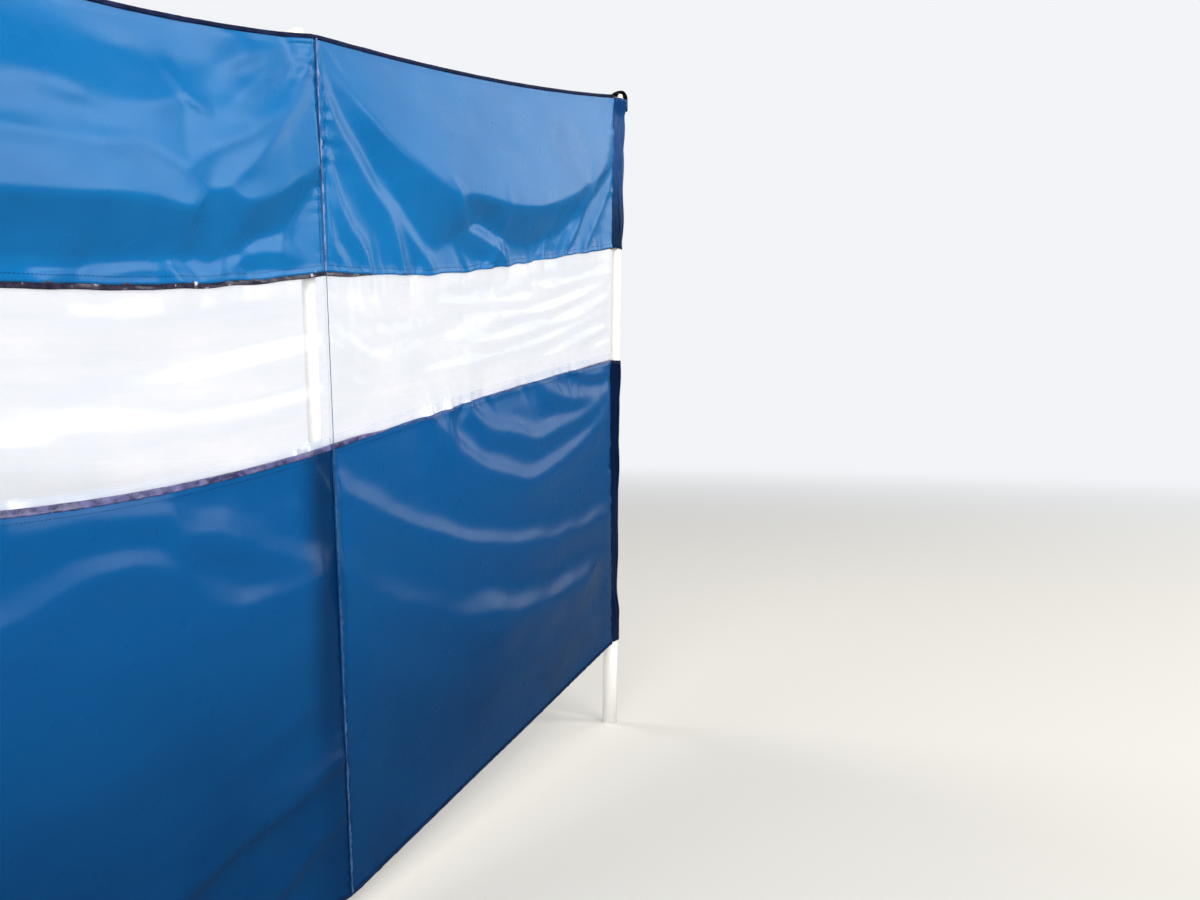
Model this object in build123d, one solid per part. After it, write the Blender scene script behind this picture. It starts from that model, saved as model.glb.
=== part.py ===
from build123d import *
import math
import os

# Beach windbreak: four cloth bays on five round posts, modelled from ground level up.
# X runs along the row, +Y is the side that the posts stand on, +Z is up.
# The origin is the centre of the middle post's flat foot. All sizes are in millimetres.

# Plan of the row
BAYS = 4
BAY_LENGTH = 1030.0
BAY_TURN = 16.0

# Cloth, measured up a post
LOWER_BAND = 626.0
WINDOW_BAND = 246.0
UPPER_BAND = 328.0
CLOTH_THICKNESS = 1.5
FILM_THICKNESS = 1.0
SLEEVE_WALL = 1.2
SLEEVE_WIDTH = 60.0
SLEEVE_LAP = 4.8
SEAM_OFFSET = 14.0
END_SLEEVE_REACH = 30.0
# How far an end seam stands in front of its post's axis, at the hem and from the window up
END_SEAM_FRONT_LOW = 15.0
END_SEAM_FRONT_HIGH = 1.0
BINDING_WIDTH = 10.0
BINDING_WALL = 1.0

# Height of the cloth's lower edge above the ground, and lean of the posts
END_LIFT = 188.0
INNER_LIFT = 31.0
END_LEAN = -0.3
INNER_LEAN = 3.7

# How far each edge of the cloth hangs down half-way between two posts
END_TOP_SAG = 14.0
END_WINDOW_TOP_SAG = 18.0
END_WINDOW_BOTTOM_SAG = -6.0
END_HEM_SAG = 0.0
INNER_TOP_SAG = 56.0
INNER_WINDOW_TOP_SAG = 58.0
INNER_WINDOW_BOTTOM_SAG = 60.0
INNER_HEM_SAG = 18.0

# How far each band bellies out towards the front half-way between two posts
LOWER_BELLY = -22.0
UPPER_BELLY = -12.0

# Posts
POST_OD = 19.0
POST_WALL = 1.2
GROUND_TUBE_OD = 32.0
GROUND_TUBE_OVERLAP = 60.0
SOCKET_DEPTH = 85.0
CLEARANCE = 0.3
FLARE_LENGTH = 60.0

# Cap on a post
COLLAR_OD = 22.0
COLLAR_HEIGHT = 4.0
KNOB_OD = 16.0
KNOB_HEIGHT = 10.0
KNOB_CHAMFER = 3.0
KNOB_SLOPE = 45.0
PLUG_LENGTH = 16.0
LUG_LENGTH = 18.0
LUG_WIDTH = 8.0
LUG_THICKNESS = 3.0

# Webbing loop over an end post
LOOP_WIDTH = 22.0
LOOP_THICKNESS = 1.8
LOOP_RISE = 5.0
LOOP_DROP = 26.0

# Values worked out from those above
STATIONS = 8
LOWER_STEPS = 6
WINDOW_STEPS = 4
UPPER_STEPS = 4
ROUND_STEPS = 12
NARROW_STEPS = 3
CAP_SIDES = 24
ARCH_STEPS = 8
CLOTH_HEIGHT = LOWER_BAND + WINDOW_BAND + UPPER_BAND
EDGE_HEIGHTS = {
    "hem": 0.0,
    "window_bottom": LOWER_BAND,
    "window_top": LOWER_BAND + WINDOW_BAND,
    "top": CLOTH_HEIGHT,
}
END_BAY_SAG = (END_HEM_SAG, END_WINDOW_BOTTOM_SAG, END_WINDOW_TOP_SAG, END_TOP_SAG)
INNER_BAY_SAG = (INNER_HEM_SAG, INNER_WINDOW_BOTTOM_SAG, INNER_WINDOW_TOP_SAG, INNER_TOP_SAG)
POST_RADIUS = POST_OD / 2
GROUND_TUBE_RADIUS = GROUND_TUBE_OD / 2
NARROW_SLEEVE_RADIUS = POST_RADIUS + CLEARANCE
WIDE_SLEEVE_RADIUS = GROUND_TUBE_RADIUS + CLEARANCE
# Back face of the cloth, in front of an inner post's axis
CLOTH_BACK = WIDE_SLEEVE_RADIUS + SLEEVE_WALL
MIDDLE_POST = BAYS // 2
BELOW_GROUND = 60.0


def bay_angle(bay):
    """Direction of a bay in the plan, in degrees from +X: the row is a shallow arc."""
    return (bay - (BAYS - 1) / 2) * BAY_TURN


def is_end(post):
    """Whether a post stands at an end of the row."""
    return post in (0, BAYS)


def post_foot(post):
    """Plan position of a post's foot, counted from the middle post at the origin."""
    x = 0.0
    y = 0.0
    for bay in range(MIDDLE_POST, post):
        x += BAY_LENGTH * math.cos(math.radians(bay_angle(bay)))
        y += BAY_LENGTH * math.sin(math.radians(bay_angle(bay)))
    for bay in range(post, MIDDLE_POST):
        x -= BAY_LENGTH * math.cos(math.radians(bay_angle(bay)))
        y -= BAY_LENGTH * math.sin(math.radians(bay_angle(bay)))
    return Vector(x, y, 0)


def post_lift(post):
    """Height of the cloth's lower edge above the ground at a post."""
    return END_LIFT if is_end(post) else INNER_LIFT


def post_lean(post):
    """Lean of a post towards the back, in degrees; the middle post stands upright."""
    if post == MIDDLE_POST:
        return 0.0
    return END_LEAN if is_end(post) else INNER_LEAN


def post_plane(post):
    """A post's own axes: X along the bay to its left, Y to the back, Z up the post."""
    angle = math.radians(bay_angle(max(post - 1, 0)))
    lean = math.radians(post_lean(post))
    along = Vector(math.cos(angle), math.sin(angle), 0)
    back = Vector(-math.sin(angle), math.cos(angle), 0)
    up = Vector(0, 0, 1) * math.cos(lean) + back * math.sin(lean)
    return Plane(origin=post_foot(post), x_dir=along, z_dir=up)


PLANES = [post_plane(post) for post in range(BAYS + 1)]


def above_ground(solid):
    """The part of a solid that stands above ground level."""
    size = 4 * GROUND_TUBE_OD
    centre = solid.bounding_box().center()
    ground = Pos(centre.X, centre.Y, -BELOW_GROUND) * Box(size, size, 2 * BELOW_GROUND)
    return solid - ground


def make_ground_tube(post):
    """Thick tube in the ground with a socket for the post, from ground level up."""
    top = post_lift(post) + GROUND_TUBE_OVERLAP
    floor = top - SOCKET_DEPTH
    bore = NARROW_SLEEVE_RADIUS
    bottom = -BELOW_GROUND / 2
    outline = Polyline(
        (0, 0, bottom),
        (GROUND_TUBE_RADIUS, 0, bottom),
        (GROUND_TUBE_RADIUS, 0, top),
        (bore, 0, top),
        (bore, 0, floor),
        (0, 0, floor),
        close=True,
    )
    tube = revolve(make_face(outline), Axis.Z)
    return above_ground(PLANES[post].location * tube)


def post_top(post):
    """Height of a post's upper end above its foot, along the post."""
    return post_lift(post) + CLOTH_HEIGHT - COLLAR_HEIGHT


def make_post(post):
    """Thin round tube from the socket's floor to the cap."""
    bottom = post_lift(post) + GROUND_TUBE_OVERLAP - SOCKET_DEPTH
    length = post_top(post) - bottom
    tube = Cylinder(POST_RADIUS, length) - Cylinder(POST_RADIUS - POST_WALL, length)
    return PLANES[post].location * Pos(0, 0, bottom + length / 2) * tube


def cap_disc(radius, bottom, height, taper=0.0):
    """Round length of a cap, drawn with flats so that it stays light."""
    face = RegularPolygon(radius, CAP_SIDES)
    return Pos(0, 0, bottom) * extrude(face, height, taper=taper)


def make_cap(post):
    """Cap with a plug in the tube, a collar, a chamfered knob and one side lug."""
    plug_radius = POST_RADIUS - POST_WALL - CLEARANCE / 2
    straight = KNOB_HEIGHT - KNOB_CHAMFER
    cap = cap_disc(plug_radius, -PLUG_LENGTH, PLUG_LENGTH)
    cap += cap_disc(COLLAR_OD / 2, 0, COLLAR_HEIGHT)
    cap += cap_disc(KNOB_OD / 2, COLLAR_HEIGHT, straight)
    cap += cap_disc(KNOB_OD / 2, COLLAR_HEIGHT + straight, KNOB_CHAMFER, KNOB_SLOPE)
    if not is_end(post):
        lug = Rectangle(LUG_LENGTH, LUG_WIDTH)
        cap += Pos(-LUG_LENGTH / 2, 0, COLLAR_HEIGHT) * extrude(lug, LUG_THICKNESS)
    return PLANES[post].location * Pos(0, 0, post_top(post)) * cap


def cloth_front(post, height):
    """Place of the cloth's mid-surface across a post's axis, negative to the front."""
    if not is_end(post):
        return -(CLOTH_BACK + CLOTH_THICKNESS / 2)
    share = min(max(height / LOWER_BAND, 0), 1)
    return -END_SEAM_FRONT_LOW + share * (END_SEAM_FRONT_LOW - END_SEAM_FRONT_HIGH)


def edge_at(post, along, height):
    """A point on the cloth's mid-surface, from a post's own axes."""
    local = (along, cloth_front(post, height), post_lift(post) + height)
    return PLANES[post].from_local_coords(Vector(*local))


def bay_sag(bay, height):
    """Sag half-way along a bay at a height up the cloth, taken between its edges."""
    sags = END_BAY_SAG if bay in (0, BAYS - 1) else INNER_BAY_SAG
    edges = list(EDGE_HEIGHTS.values())
    for number, (low, high) in enumerate(zip(edges, edges[1:])):
        if height <= high:
            share = (height - low) / (high - low)
            return sags[number] + share * (sags[number + 1] - sags[number])
    return sags[-1]


def bay_belly(height):
    """Belly half-way along a bay: each cloth band bows out and the film stays flat."""
    if height < LOWER_BAND:
        return LOWER_BELLY * math.sin(math.pi * height / LOWER_BAND)
    rise = height - LOWER_BAND - WINDOW_BAND
    if rise > 0:
        return UPPER_BELLY * math.sin(math.pi * rise / UPPER_BAND)
    return 0.0


def bay_ends(bay):
    """Where a bay's free cloth starts and stops along the axes of its two posts."""
    start = END_SLEEVE_REACH if bay == 0 else SEAM_OFFSET
    stop = -END_SLEEVE_REACH if bay == BAYS - 1 else SEAM_OFFSET - SLEEVE_WIDTH
    return start, stop


def cloth_point(bay, share, height):
    """Centre of the cloth at a share of the bay's length and a height up the cloth."""
    start, stop = bay_ends(bay)
    slack = math.sin(math.pi * share) ** 2
    hung = height - bay_sag(bay, height) * 4 * share * (1 - share)
    low = edge_at(bay, start, hung)
    high = edge_at(bay + 1, stop, hung)
    across = PLANES[bay].y_dir * (1 - share) + PLANES[bay + 1].y_dir * share
    return low + (high - low) * share + across.normalized() * bay_belly(height) * slack


def station(bay, share, profile):
    """Section of a cloth piece: profile holds (height, offset to the back) pairs."""
    across = PLANES[bay].y_dir * (1 - share) + PLANES[bay + 1].y_dir * share
    normal = across.normalized()
    points = [cloth_point(bay, share, height) + normal * offset for height, offset in profile]
    return Wire.make_polygon(points, close=True)


def seam_station(bay, profile):
    """Section of a cloth piece at the seam past the bay's right-hand post."""
    plane = PLANES[bay + 1]
    points = [edge_at(bay + 1, SEAM_OFFSET, height) + plane.y_dir * offset for height, offset in profile]
    return Wire.make_polygon(points, close=True)


def make_strip(bay, profile):
    """Piece of cloth, film or tape that runs along one bay with the given section."""
    sections = [station(bay, number / STATIONS, profile) for number in range(STATIONS + 1)]
    strip = Solid.make_loft(sections, ruled=True)
    if bay < BAYS - 1:
        flat = Solid.make_loft([sections[-1], seam_station(bay, profile)], ruled=True)
        strip = strip + flat
    return strip


def band_profile(low, high, thickness, steps):
    """Section of a band between two heights, with points at each step and at the tapes."""
    heights = [low + (high - low) * number / steps for number in range(steps + 1)]
    heights += [height for height in (BINDING_WIDTH, CLOTH_HEIGHT - BINDING_WIDTH) if low < height < high]
    heights.sort()
    front = [(height, -thickness / 2) for height in heights]
    back = [(height, thickness / 2) for height in reversed(heights)]
    return front + back


def make_lower_panel(bay):
    """Lower cloth band of a bay."""
    return make_strip(bay, band_profile(0, LOWER_BAND, CLOTH_THICKNESS, LOWER_STEPS))


def make_window(bay):
    """Clear film band of a bay."""
    low = EDGE_HEIGHTS["window_bottom"]
    high = EDGE_HEIGHTS["window_top"]
    return make_strip(bay, band_profile(low, high, FILM_THICKNESS, WINDOW_STEPS))


def make_upper_panel(bay):
    """Upper cloth band of a bay."""
    low = EDGE_HEIGHTS["window_top"]
    return make_strip(bay, band_profile(low, CLOTH_HEIGHT, CLOTH_THICKNESS, UPPER_STEPS))


def binding_profile(edge, inward):
    """Section of a tape folded over an edge, with its legs on both faces of the cloth."""
    inner = CLOTH_THICKNESS / 2
    outer = inner + BINDING_WALL
    leg = edge + inward * BINDING_WIDTH
    crown = edge - inward * BINDING_WALL
    return [
        (leg, -outer),
        (crown, -outer),
        (crown, outer),
        (leg, outer),
        (leg, inner),
        (edge, inner),
        (edge, -inner),
        (leg, -inner),
    ]


def make_binding(edge, inward):
    """Dark tape folded over one long edge of the whole row."""
    tape = None
    for bay in range(BAYS):
        strip = make_strip(bay, binding_profile(edge, inward))
        tape = strip if tape is None else tape + strip
    return tape


def wrap(radius, start, stop):
    """Points round a post where cloth from start to stop lies on it, behind the post."""
    def tangent(point, turn):
        distance = math.hypot(*point)
        return math.atan2(point[1], point[0]) + turn * math.acos(radius / distance)

    first = tangent(start, 1)
    last = tangent(stop, -1)
    sweep = (last - first) % (2 * math.pi)
    angles = [first + sweep * number / ROUND_STEPS for number in range(ROUND_STEPS + 1)]
    return [(radius * math.cos(angle), radius * math.sin(angle)) for angle in angles]


def inner_sleeve_section(radius):
    """Section of a sleeve on the cloth's back: a tent of cloth over a post."""
    def tent(round_radius, inset, lap):
        right = (SEAM_OFFSET - inset, inset - CLOTH_BACK)
        left = (SEAM_OFFSET - SLEEVE_WIDTH + lap, inset - CLOTH_BACK)
        return make_face(Polyline(right, *wrap(round_radius, right, left), left, close=True))

    return tent(radius + SLEEVE_WALL, 0, 0) - tent(radius, SLEEVE_WALL, SLEEVE_LAP)


def end_sleeve_section(radius, side, front):
    """Section of an end sleeve: cloth round the post, drawn in to the seam."""
    def drop(round_radius, reach, tip):
        corners = [(side * reach, front - side * tip), (side * reach, front + side * tip)]
        return make_face(Polyline(*wrap(round_radius, corners[1], corners[0]), *corners, close=True))

    outer = drop(radius + SLEEVE_WALL, END_SLEEVE_REACH, CLOTH_THICKNESS / 2)
    inner = drop(radius, END_SLEEVE_REACH - SLEEVE_LAP, CLOTH_THICKNESS / 4)
    return outer - inner


def sleeve_section(post, radius, height):
    """Section of a post's sleeve at a height up the cloth."""
    if is_end(post):
        side = 1 if post == 0 else -1
        section = end_sleeve_section(radius, side, cloth_front(post, height))
    else:
        section = inner_sleeve_section(radius)
    return Pos(0, 0, post_lift(post) + height) * section


def make_sleeve(post, outline):
    """Sleeve that runs through (radius, height) pairs, from the lowest up."""
    sections = [sleeve_section(post, radius, height) for radius, height in outline]
    sleeve = None
    for low, high in zip(sections, sections[1:]):
        length = loft([low, high], ruled=True)
        sleeve = length if sleeve is None else sleeve + length
    return PLANES[post].location * sleeve


def make_upper_sleeve(post):
    """Sleeve of the upper band, which stops below the top tape on an inner post."""
    stop = CLOTH_HEIGHT - (COLLAR_HEIGHT if is_end(post) else BINDING_WIDTH)
    start = EDGE_HEIGHTS["window_top"]
    return make_sleeve(post, [(NARROW_SLEEVE_RADIUS, start), (NARROW_SLEEVE_RADIUS, stop)])


def make_lower_sleeve(post):
    """Sleeve of the lower band: wide round the ground tube and narrow above it."""
    start = 0 if is_end(post) else BINDING_WIDTH
    narrow_start = GROUND_TUBE_OVERLAP + FLARE_LENGTH
    rise = (LOWER_BAND - narrow_start) / NARROW_STEPS
    outline = [(WIDE_SLEEVE_RADIUS, start), (WIDE_SLEEVE_RADIUS, GROUND_TUBE_OVERLAP)]
    outline += [(NARROW_SLEEVE_RADIUS, narrow_start + rise * number) for number in range(NARROW_STEPS + 1)]
    return make_sleeve(post, outline)


def make_end_loop(post):
    """Webbing strap arched over the top of an end post, in line with the row."""
    side = 1 if post == 0 else -1
    radius = NARROW_SLEEVE_RADIUS + SLEEVE_WALL + LOOP_THICKNESS / 2
    top = post_top(post) + COLLAR_HEIGHT
    shoulder = top + KNOB_HEIGHT + LOOP_RISE - radius
    turns = [math.pi * number / ARCH_STEPS for number in range(ARCH_STEPS + 1)]
    arch = [(-side * radius * math.cos(turn), shoulder + radius * math.sin(turn)) for turn in turns]
    outer_end = (-side * radius, top - LOOP_DROP)
    inner_end = (side * END_SLEEVE_REACH, top + LOOP_THICKNESS)
    strap = Plane.XZ * trace(Polyline(outer_end, *arch, inner_end), LOOP_THICKNESS)
    return PLANES[post].location * extrude(strap, LOOP_WIDTH / 2, both=True)


def save(name, shape):
    """Write one piece to its own file."""
    export_step(shape, f"parts/{name}.step")


def main():
    """Build every piece of the windbreak and write it."""
    os.makedirs("parts", exist_ok=True)
    for post in range(BAYS + 1):
        number = post + 1
        save(f"ground_tube_{number}", make_ground_tube(post))
        save(f"post_{number}", make_post(post))
        save(f"post_cap_{number}", make_cap(post))
        save(f"upper_sleeve_{number}", make_upper_sleeve(post))
        save(f"lower_sleeve_{number}", make_lower_sleeve(post))
    for bay in range(BAYS):
        number = bay + 1
        save(f"lower_panel_{number}", make_lower_panel(bay))
        save(f"window_{number}", make_window(bay))
        save(f"upper_panel_{number}", make_upper_panel(bay))
    save("top_binding", make_binding(CLOTH_HEIGHT, -1))
    save("bottom_binding", make_binding(0, 1))
    save("end_loop_left", make_end_loop(0))
    save("end_loop_right", make_end_loop(BAYS))


main()
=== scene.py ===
"""Looks of the beach windbreak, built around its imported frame.

Four cloth bays hang between five round posts. Lengths are in metres, +X runs along the
row, +Y is the side that the posts stand on, and +Z is up. The cloth is one continuous
surface per bay: a share of 0 to 1 runs from its left seam to its right one, and a height
of 0 to 1.2 m runs up the post from the hem. Everything sewn to the cloth reads that
surface, so a fold carries its hem, tape and stitches with it.
"""

from __future__ import annotations

import logging
import math
from dataclasses import dataclass, field, replace
from enum import Enum

import bmesh
import bpy
import numpy as np
from bpy.types import Material, Node, NodeTree, Object
from mathutils import Matrix, Vector


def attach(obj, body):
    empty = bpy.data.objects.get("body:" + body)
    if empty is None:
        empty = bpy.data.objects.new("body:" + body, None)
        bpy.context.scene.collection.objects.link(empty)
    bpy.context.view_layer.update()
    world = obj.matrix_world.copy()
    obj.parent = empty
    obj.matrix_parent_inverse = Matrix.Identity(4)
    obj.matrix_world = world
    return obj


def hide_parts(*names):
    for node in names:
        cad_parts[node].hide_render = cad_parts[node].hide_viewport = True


LOG = logging.getLogger("windbreak")
MM = 0.001
LEVEL = np.array([1.0, 1.0, 0.0])
Line = tuple[tuple[float, float], ...]
Array = np.ndarray

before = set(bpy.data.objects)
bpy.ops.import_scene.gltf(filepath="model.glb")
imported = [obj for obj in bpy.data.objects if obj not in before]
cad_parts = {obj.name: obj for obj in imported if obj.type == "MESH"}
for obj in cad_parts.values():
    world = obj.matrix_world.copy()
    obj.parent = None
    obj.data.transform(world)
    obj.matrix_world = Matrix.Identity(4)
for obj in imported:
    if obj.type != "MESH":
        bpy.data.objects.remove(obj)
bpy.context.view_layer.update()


class Edge(Enum):
    """Named lines along the cloth."""

    HEM = "hem"
    WINDOW_BOTTOM = "window_bottom"
    WINDOW_TOP = "window_top"
    TOP = "top"


class Band(Enum):
    """The three bands of a bay, from the ground up."""

    LOWER = "lower_cloth"
    WINDOW = "window_film"
    UPPER = "upper_cloth"


def smoothstep(value: Array | float) -> Array:
    """Ease from 0 to 1.

    Args:
        value: Where to read the curve; below 0 it is 0 and above 1 it is 1.

    Returns:
        The eased value.
    """
    clipped = np.clip(value, 0.0, 1.0)
    return clipped * clipped * (3.0 - 2.0 * clipped)


def unit(vector: Array) -> Array:
    """Scale a vector, or each vector in an array's last axis, to a length of 1."""
    return vector / np.linalg.norm(vector, axis=-1, keepdims=True)


def traced(*thousandths: float) -> Line:
    """Pair up a line's places and values, which are given in thousandths."""
    return tuple((place / 1000, value / 1000) for place, value in zip(thousandths[::2], thousandths[1::2]))


def turned(line: Line) -> Line:
    """Change a line's left and right over."""
    return tuple((1.0 - share, value) for share, value in reversed(line))


def follow(line: Line, where: Array) -> tuple[Array, Array]:
    """Read a smooth line through a few points.

    Args:
        line: (place, value) pairs with rising places.
        where: Places to read; past the ends the line runs on straight.

    Returns:
        The values and the slopes there.
    """
    places, values = np.array(line).T
    slopes = np.gradient(values, places)
    inside = np.clip(where, places[0], places[-1])
    left = np.clip(np.searchsorted(places, inside, side="right") - 1, 0, len(places) - 2)
    gap = places[left + 1] - places[left]
    t = (inside - places[left]) / gap
    rise = values[left + 1] - values[left]
    start, stop = slopes[left] * gap, slopes[left + 1] * gap
    cubic = start + stop - 2 * rise
    square = 3 * rise - 2 * start - stop
    value = values[left] + t * (start + t * (square + t * cubic))
    slope = (start + t * (2 * square + 3 * t * cubic)) / gap
    return value + slope * (where - inside), slope


@dataclass(frozen=True)
class Ripple:
    """Gentle irregular waves, the same each time for one seed.

    Fields: rise is the usual height, shortest and longest bound the wavelength, stretch
    draws the waves out along the row where it is over 1 and up the cloth below 1.
    """

    rise: float
    shortest: float
    longest: float
    seed: int
    stretch: float = 1.0
    waves: int = 9

    def at(self, x: Array, y: Array) -> Array:
        """Read the waves.

        Args:
            x: Distance along the row, in metres.
            y: Height up the cloth, in metres.

        Returns:
            The rise at each place.
        """
        draw = np.random.default_rng(self.seed)
        total = np.zeros(np.broadcast(x, y).shape)
        for _ in range(self.waves):
            length = draw.uniform(self.shortest, self.longest)
            turn = draw.uniform(0, math.pi)
            phase = draw.uniform(0, 2 * math.pi)
            along = math.cos(turn) / (length * self.stretch)
            across = math.sin(turn) / length
            total += np.sin(2 * math.pi * (along * x + across * y) + phase)
        return total * self.rise / math.sqrt(self.waves / 2)


@dataclass(frozen=True)
class Ridge:
    """A fold whose crest follows a smooth line over the cloth.

    Fields: line holds (share, height) pairs with rising shares, rise is the crest's height
    to the front, above and below are the widths of its two flanks, fade is the share
    of the bay over which it grows at each end, and bend is how soft its crest is: 1 for two
    flat faces that meet in a line, up to 2 for a round roll. A loose fold isn't held down
    beside the tapes.
    """

    line: Line
    rise: float
    above: float
    below: float
    fade: float = 0.05
    bend: float = 1.7
    crest_radius: float = 0.004
    loose: bool = False

    def at(self, share: Array, height: Array, span: float) -> Array:
        """Read the fold.

        Args:
            share: Places along the bay, 0 to 1.
            height: Heights up the cloth.
            span: Distance between the seams.

        Returns:
            How far it stands out.
        """
        crest, slope = follow(self.line, share)
        off = (height - crest) / np.sqrt(1 + (slope / span) ** 2)
        flank = np.where(off > 0, self.above, self.below)
        first, last = self.line[0][0], self.line[-1][0]
        grow = smoothstep((share - first) / self.fade + 0.5) * smoothstep((last - share) / self.fade + 0.5)
        away = np.sqrt(off**2 + self.crest_radius**2) - self.crest_radius
        if self.bend > 1:
            return self.rise * grow * np.exp(-((away / flank) ** self.bend))
        left = 1 - away / flank
        return self.rise * grow * (left + np.sqrt(left**2 + 0.01)) / 2

    def mirrored(self) -> "Ridge":
        """The same fold with left and right changed over."""
        return replace(self, line=turned(self.line))


@dataclass(frozen=True)
class Swag:
    """A broad face that leans out from the top edge down to a crest, and falls back below.

    Fields: line holds the crest's (share, height) pairs, tilt and fall the (share, value)
    pairs of the face's slope and of the height of the fall, top the height of the edge.
    """

    line: Line
    tilt: Line
    fall: Line
    top: float
    crest_radius: float = 0.003
    loose: bool = True

    def at(self, share: Array, height: Array, _span: float) -> Array:
        """Read the face and its fall.

        Args:
            share: Places along the bay, 0 to 1.
            height: Heights up the cloth.
            _span: Not needed here.

        Returns:
            How far the cloth stands out.
        """
        crest, tilt, fall = (follow(line, share)[0] for line in (self.line, self.tilt, self.fall))
        face = tilt * (self.top - height)
        back = tilt * (self.top - crest) * (1 - (crest - height) / fall)
        joined = (face + back - np.sqrt((face - back) ** 2 + self.crest_radius**2)) / 2
        return (joined + np.sqrt(joined**2 + self.crest_radius**2)) / 2

    def mirrored(self) -> "Swag":
        """The same face with left and right changed over."""
        return replace(self, line=turned(self.line), tilt=turned(self.tilt), fall=turned(self.fall))


@dataclass(frozen=True)
class Fan:
    """Creases that spread from a point where the cloth is held tight."""

    place: tuple[float, float]
    rise: float
    reach: float
    creases: float
    seed: int
    loose: bool = False
    tight: float = 0.03

    def at(self, share: Array, height: Array, span: float) -> Array:
        """Read the creases.

        Args:
            share: Places along the bay, 0 to 1.
            height: Heights up the cloth.
            span: Distance between the seams.

        Returns:
            How far they stand out.
        """
        x = (share - self.place[0]) * span
        y = height - self.place[1]
        far = np.hypot(x, y)
        turn = np.arctan2(x, -y)
        draw = np.random.default_rng(self.seed)
        total = np.zeros(far.shape)
        for count in (0.6, 1.0, 1.7):
            total += np.sin(turn * self.creases * count + draw.uniform(0, 6.0)) / (1 + count)
        return self.rise * total * smoothstep(far / self.tight) * np.exp(-((far / self.reach) ** 1.5))

    def mirrored(self) -> "Fan":
        """The same creases with left and right changed over."""
        return replace(self, place=(1.0 - self.place[0], self.place[1]), seed=self.seed + 1)


@dataclass(frozen=True)
class Gather:
    """Small puckers that stand up from one long edge of a band.

    Fields: edge is the height that they start from, depth how far they reach into the
    cloth, spacing their usual width, start and stop the shares between which they show.
    """

    edge: float
    depth: float
    rise: float
    spacing: float
    seed: int
    start: float = 0.0
    stop: float = 1.0
    fade: float = 0.06

    def at(self, share: Array, height: Array, span: float) -> Array:
        """Read the puckers.

        Args:
            share: Places along the bay, 0 to 1.
            height: Heights up the cloth.
            span: Distance between the seams.

        Returns:
            How far they stand out.
        """
        away = np.abs(height - self.edge)
        level = np.zeros(np.shape(share))
        lean = Ripple(0.5, 2 * self.spacing, 5 * self.spacing, self.seed + 7, 1.0, 4)
        slanted = share * span + lean.at(share * span, level) * away
        wave = Ripple(1.0, 0.5 * self.spacing, 2.2 * self.spacing, self.seed, 1.0, 7)
        swell = Ripple(0.8, 2 * self.spacing, 6 * self.spacing, self.seed + 5, 1.0, 4)
        puckers = wave.at(slanted, level) * np.clip(0.3 + swell.at(slanted, level), 0.05, 1.3)
        shown = smoothstep((share - self.start) / self.fade) * smoothstep((self.stop - share) / self.fade)
        return self.rise * puckers * shown * np.exp(-((away / self.depth) ** 1.3) * 1.6)

    def mirrored(self) -> "Gather":
        """The same puckers with left and right changed over."""
        return replace(self, start=1.0 - self.stop, stop=1.0 - self.start, seed=self.seed + 1)


Fold = Ridge | Swag | Fan | Gather


@dataclass(frozen=True)
class PostAxes:
    """A post's own axes: along the bay on its left, to the back, and up the post."""

    foot: Array
    along: Array
    back: Array
    up: Array

    def place(self, x: Array | float, y: Array | float, z: Array | float) -> Array:
        """Turn a place in the post's own axes into one in the row's.

        Args:
            x: Distance along the bay.
            y: Distance to the back.
            z: Height up the post from its foot.

        Returns:
            The place, or an array of them.
        """
        parts = [np.asarray(part, float)[..., None] for part in (x, y, z)]
        return self.foot + parts[0] * self.along + parts[1] * self.back + parts[2] * self.up


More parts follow.
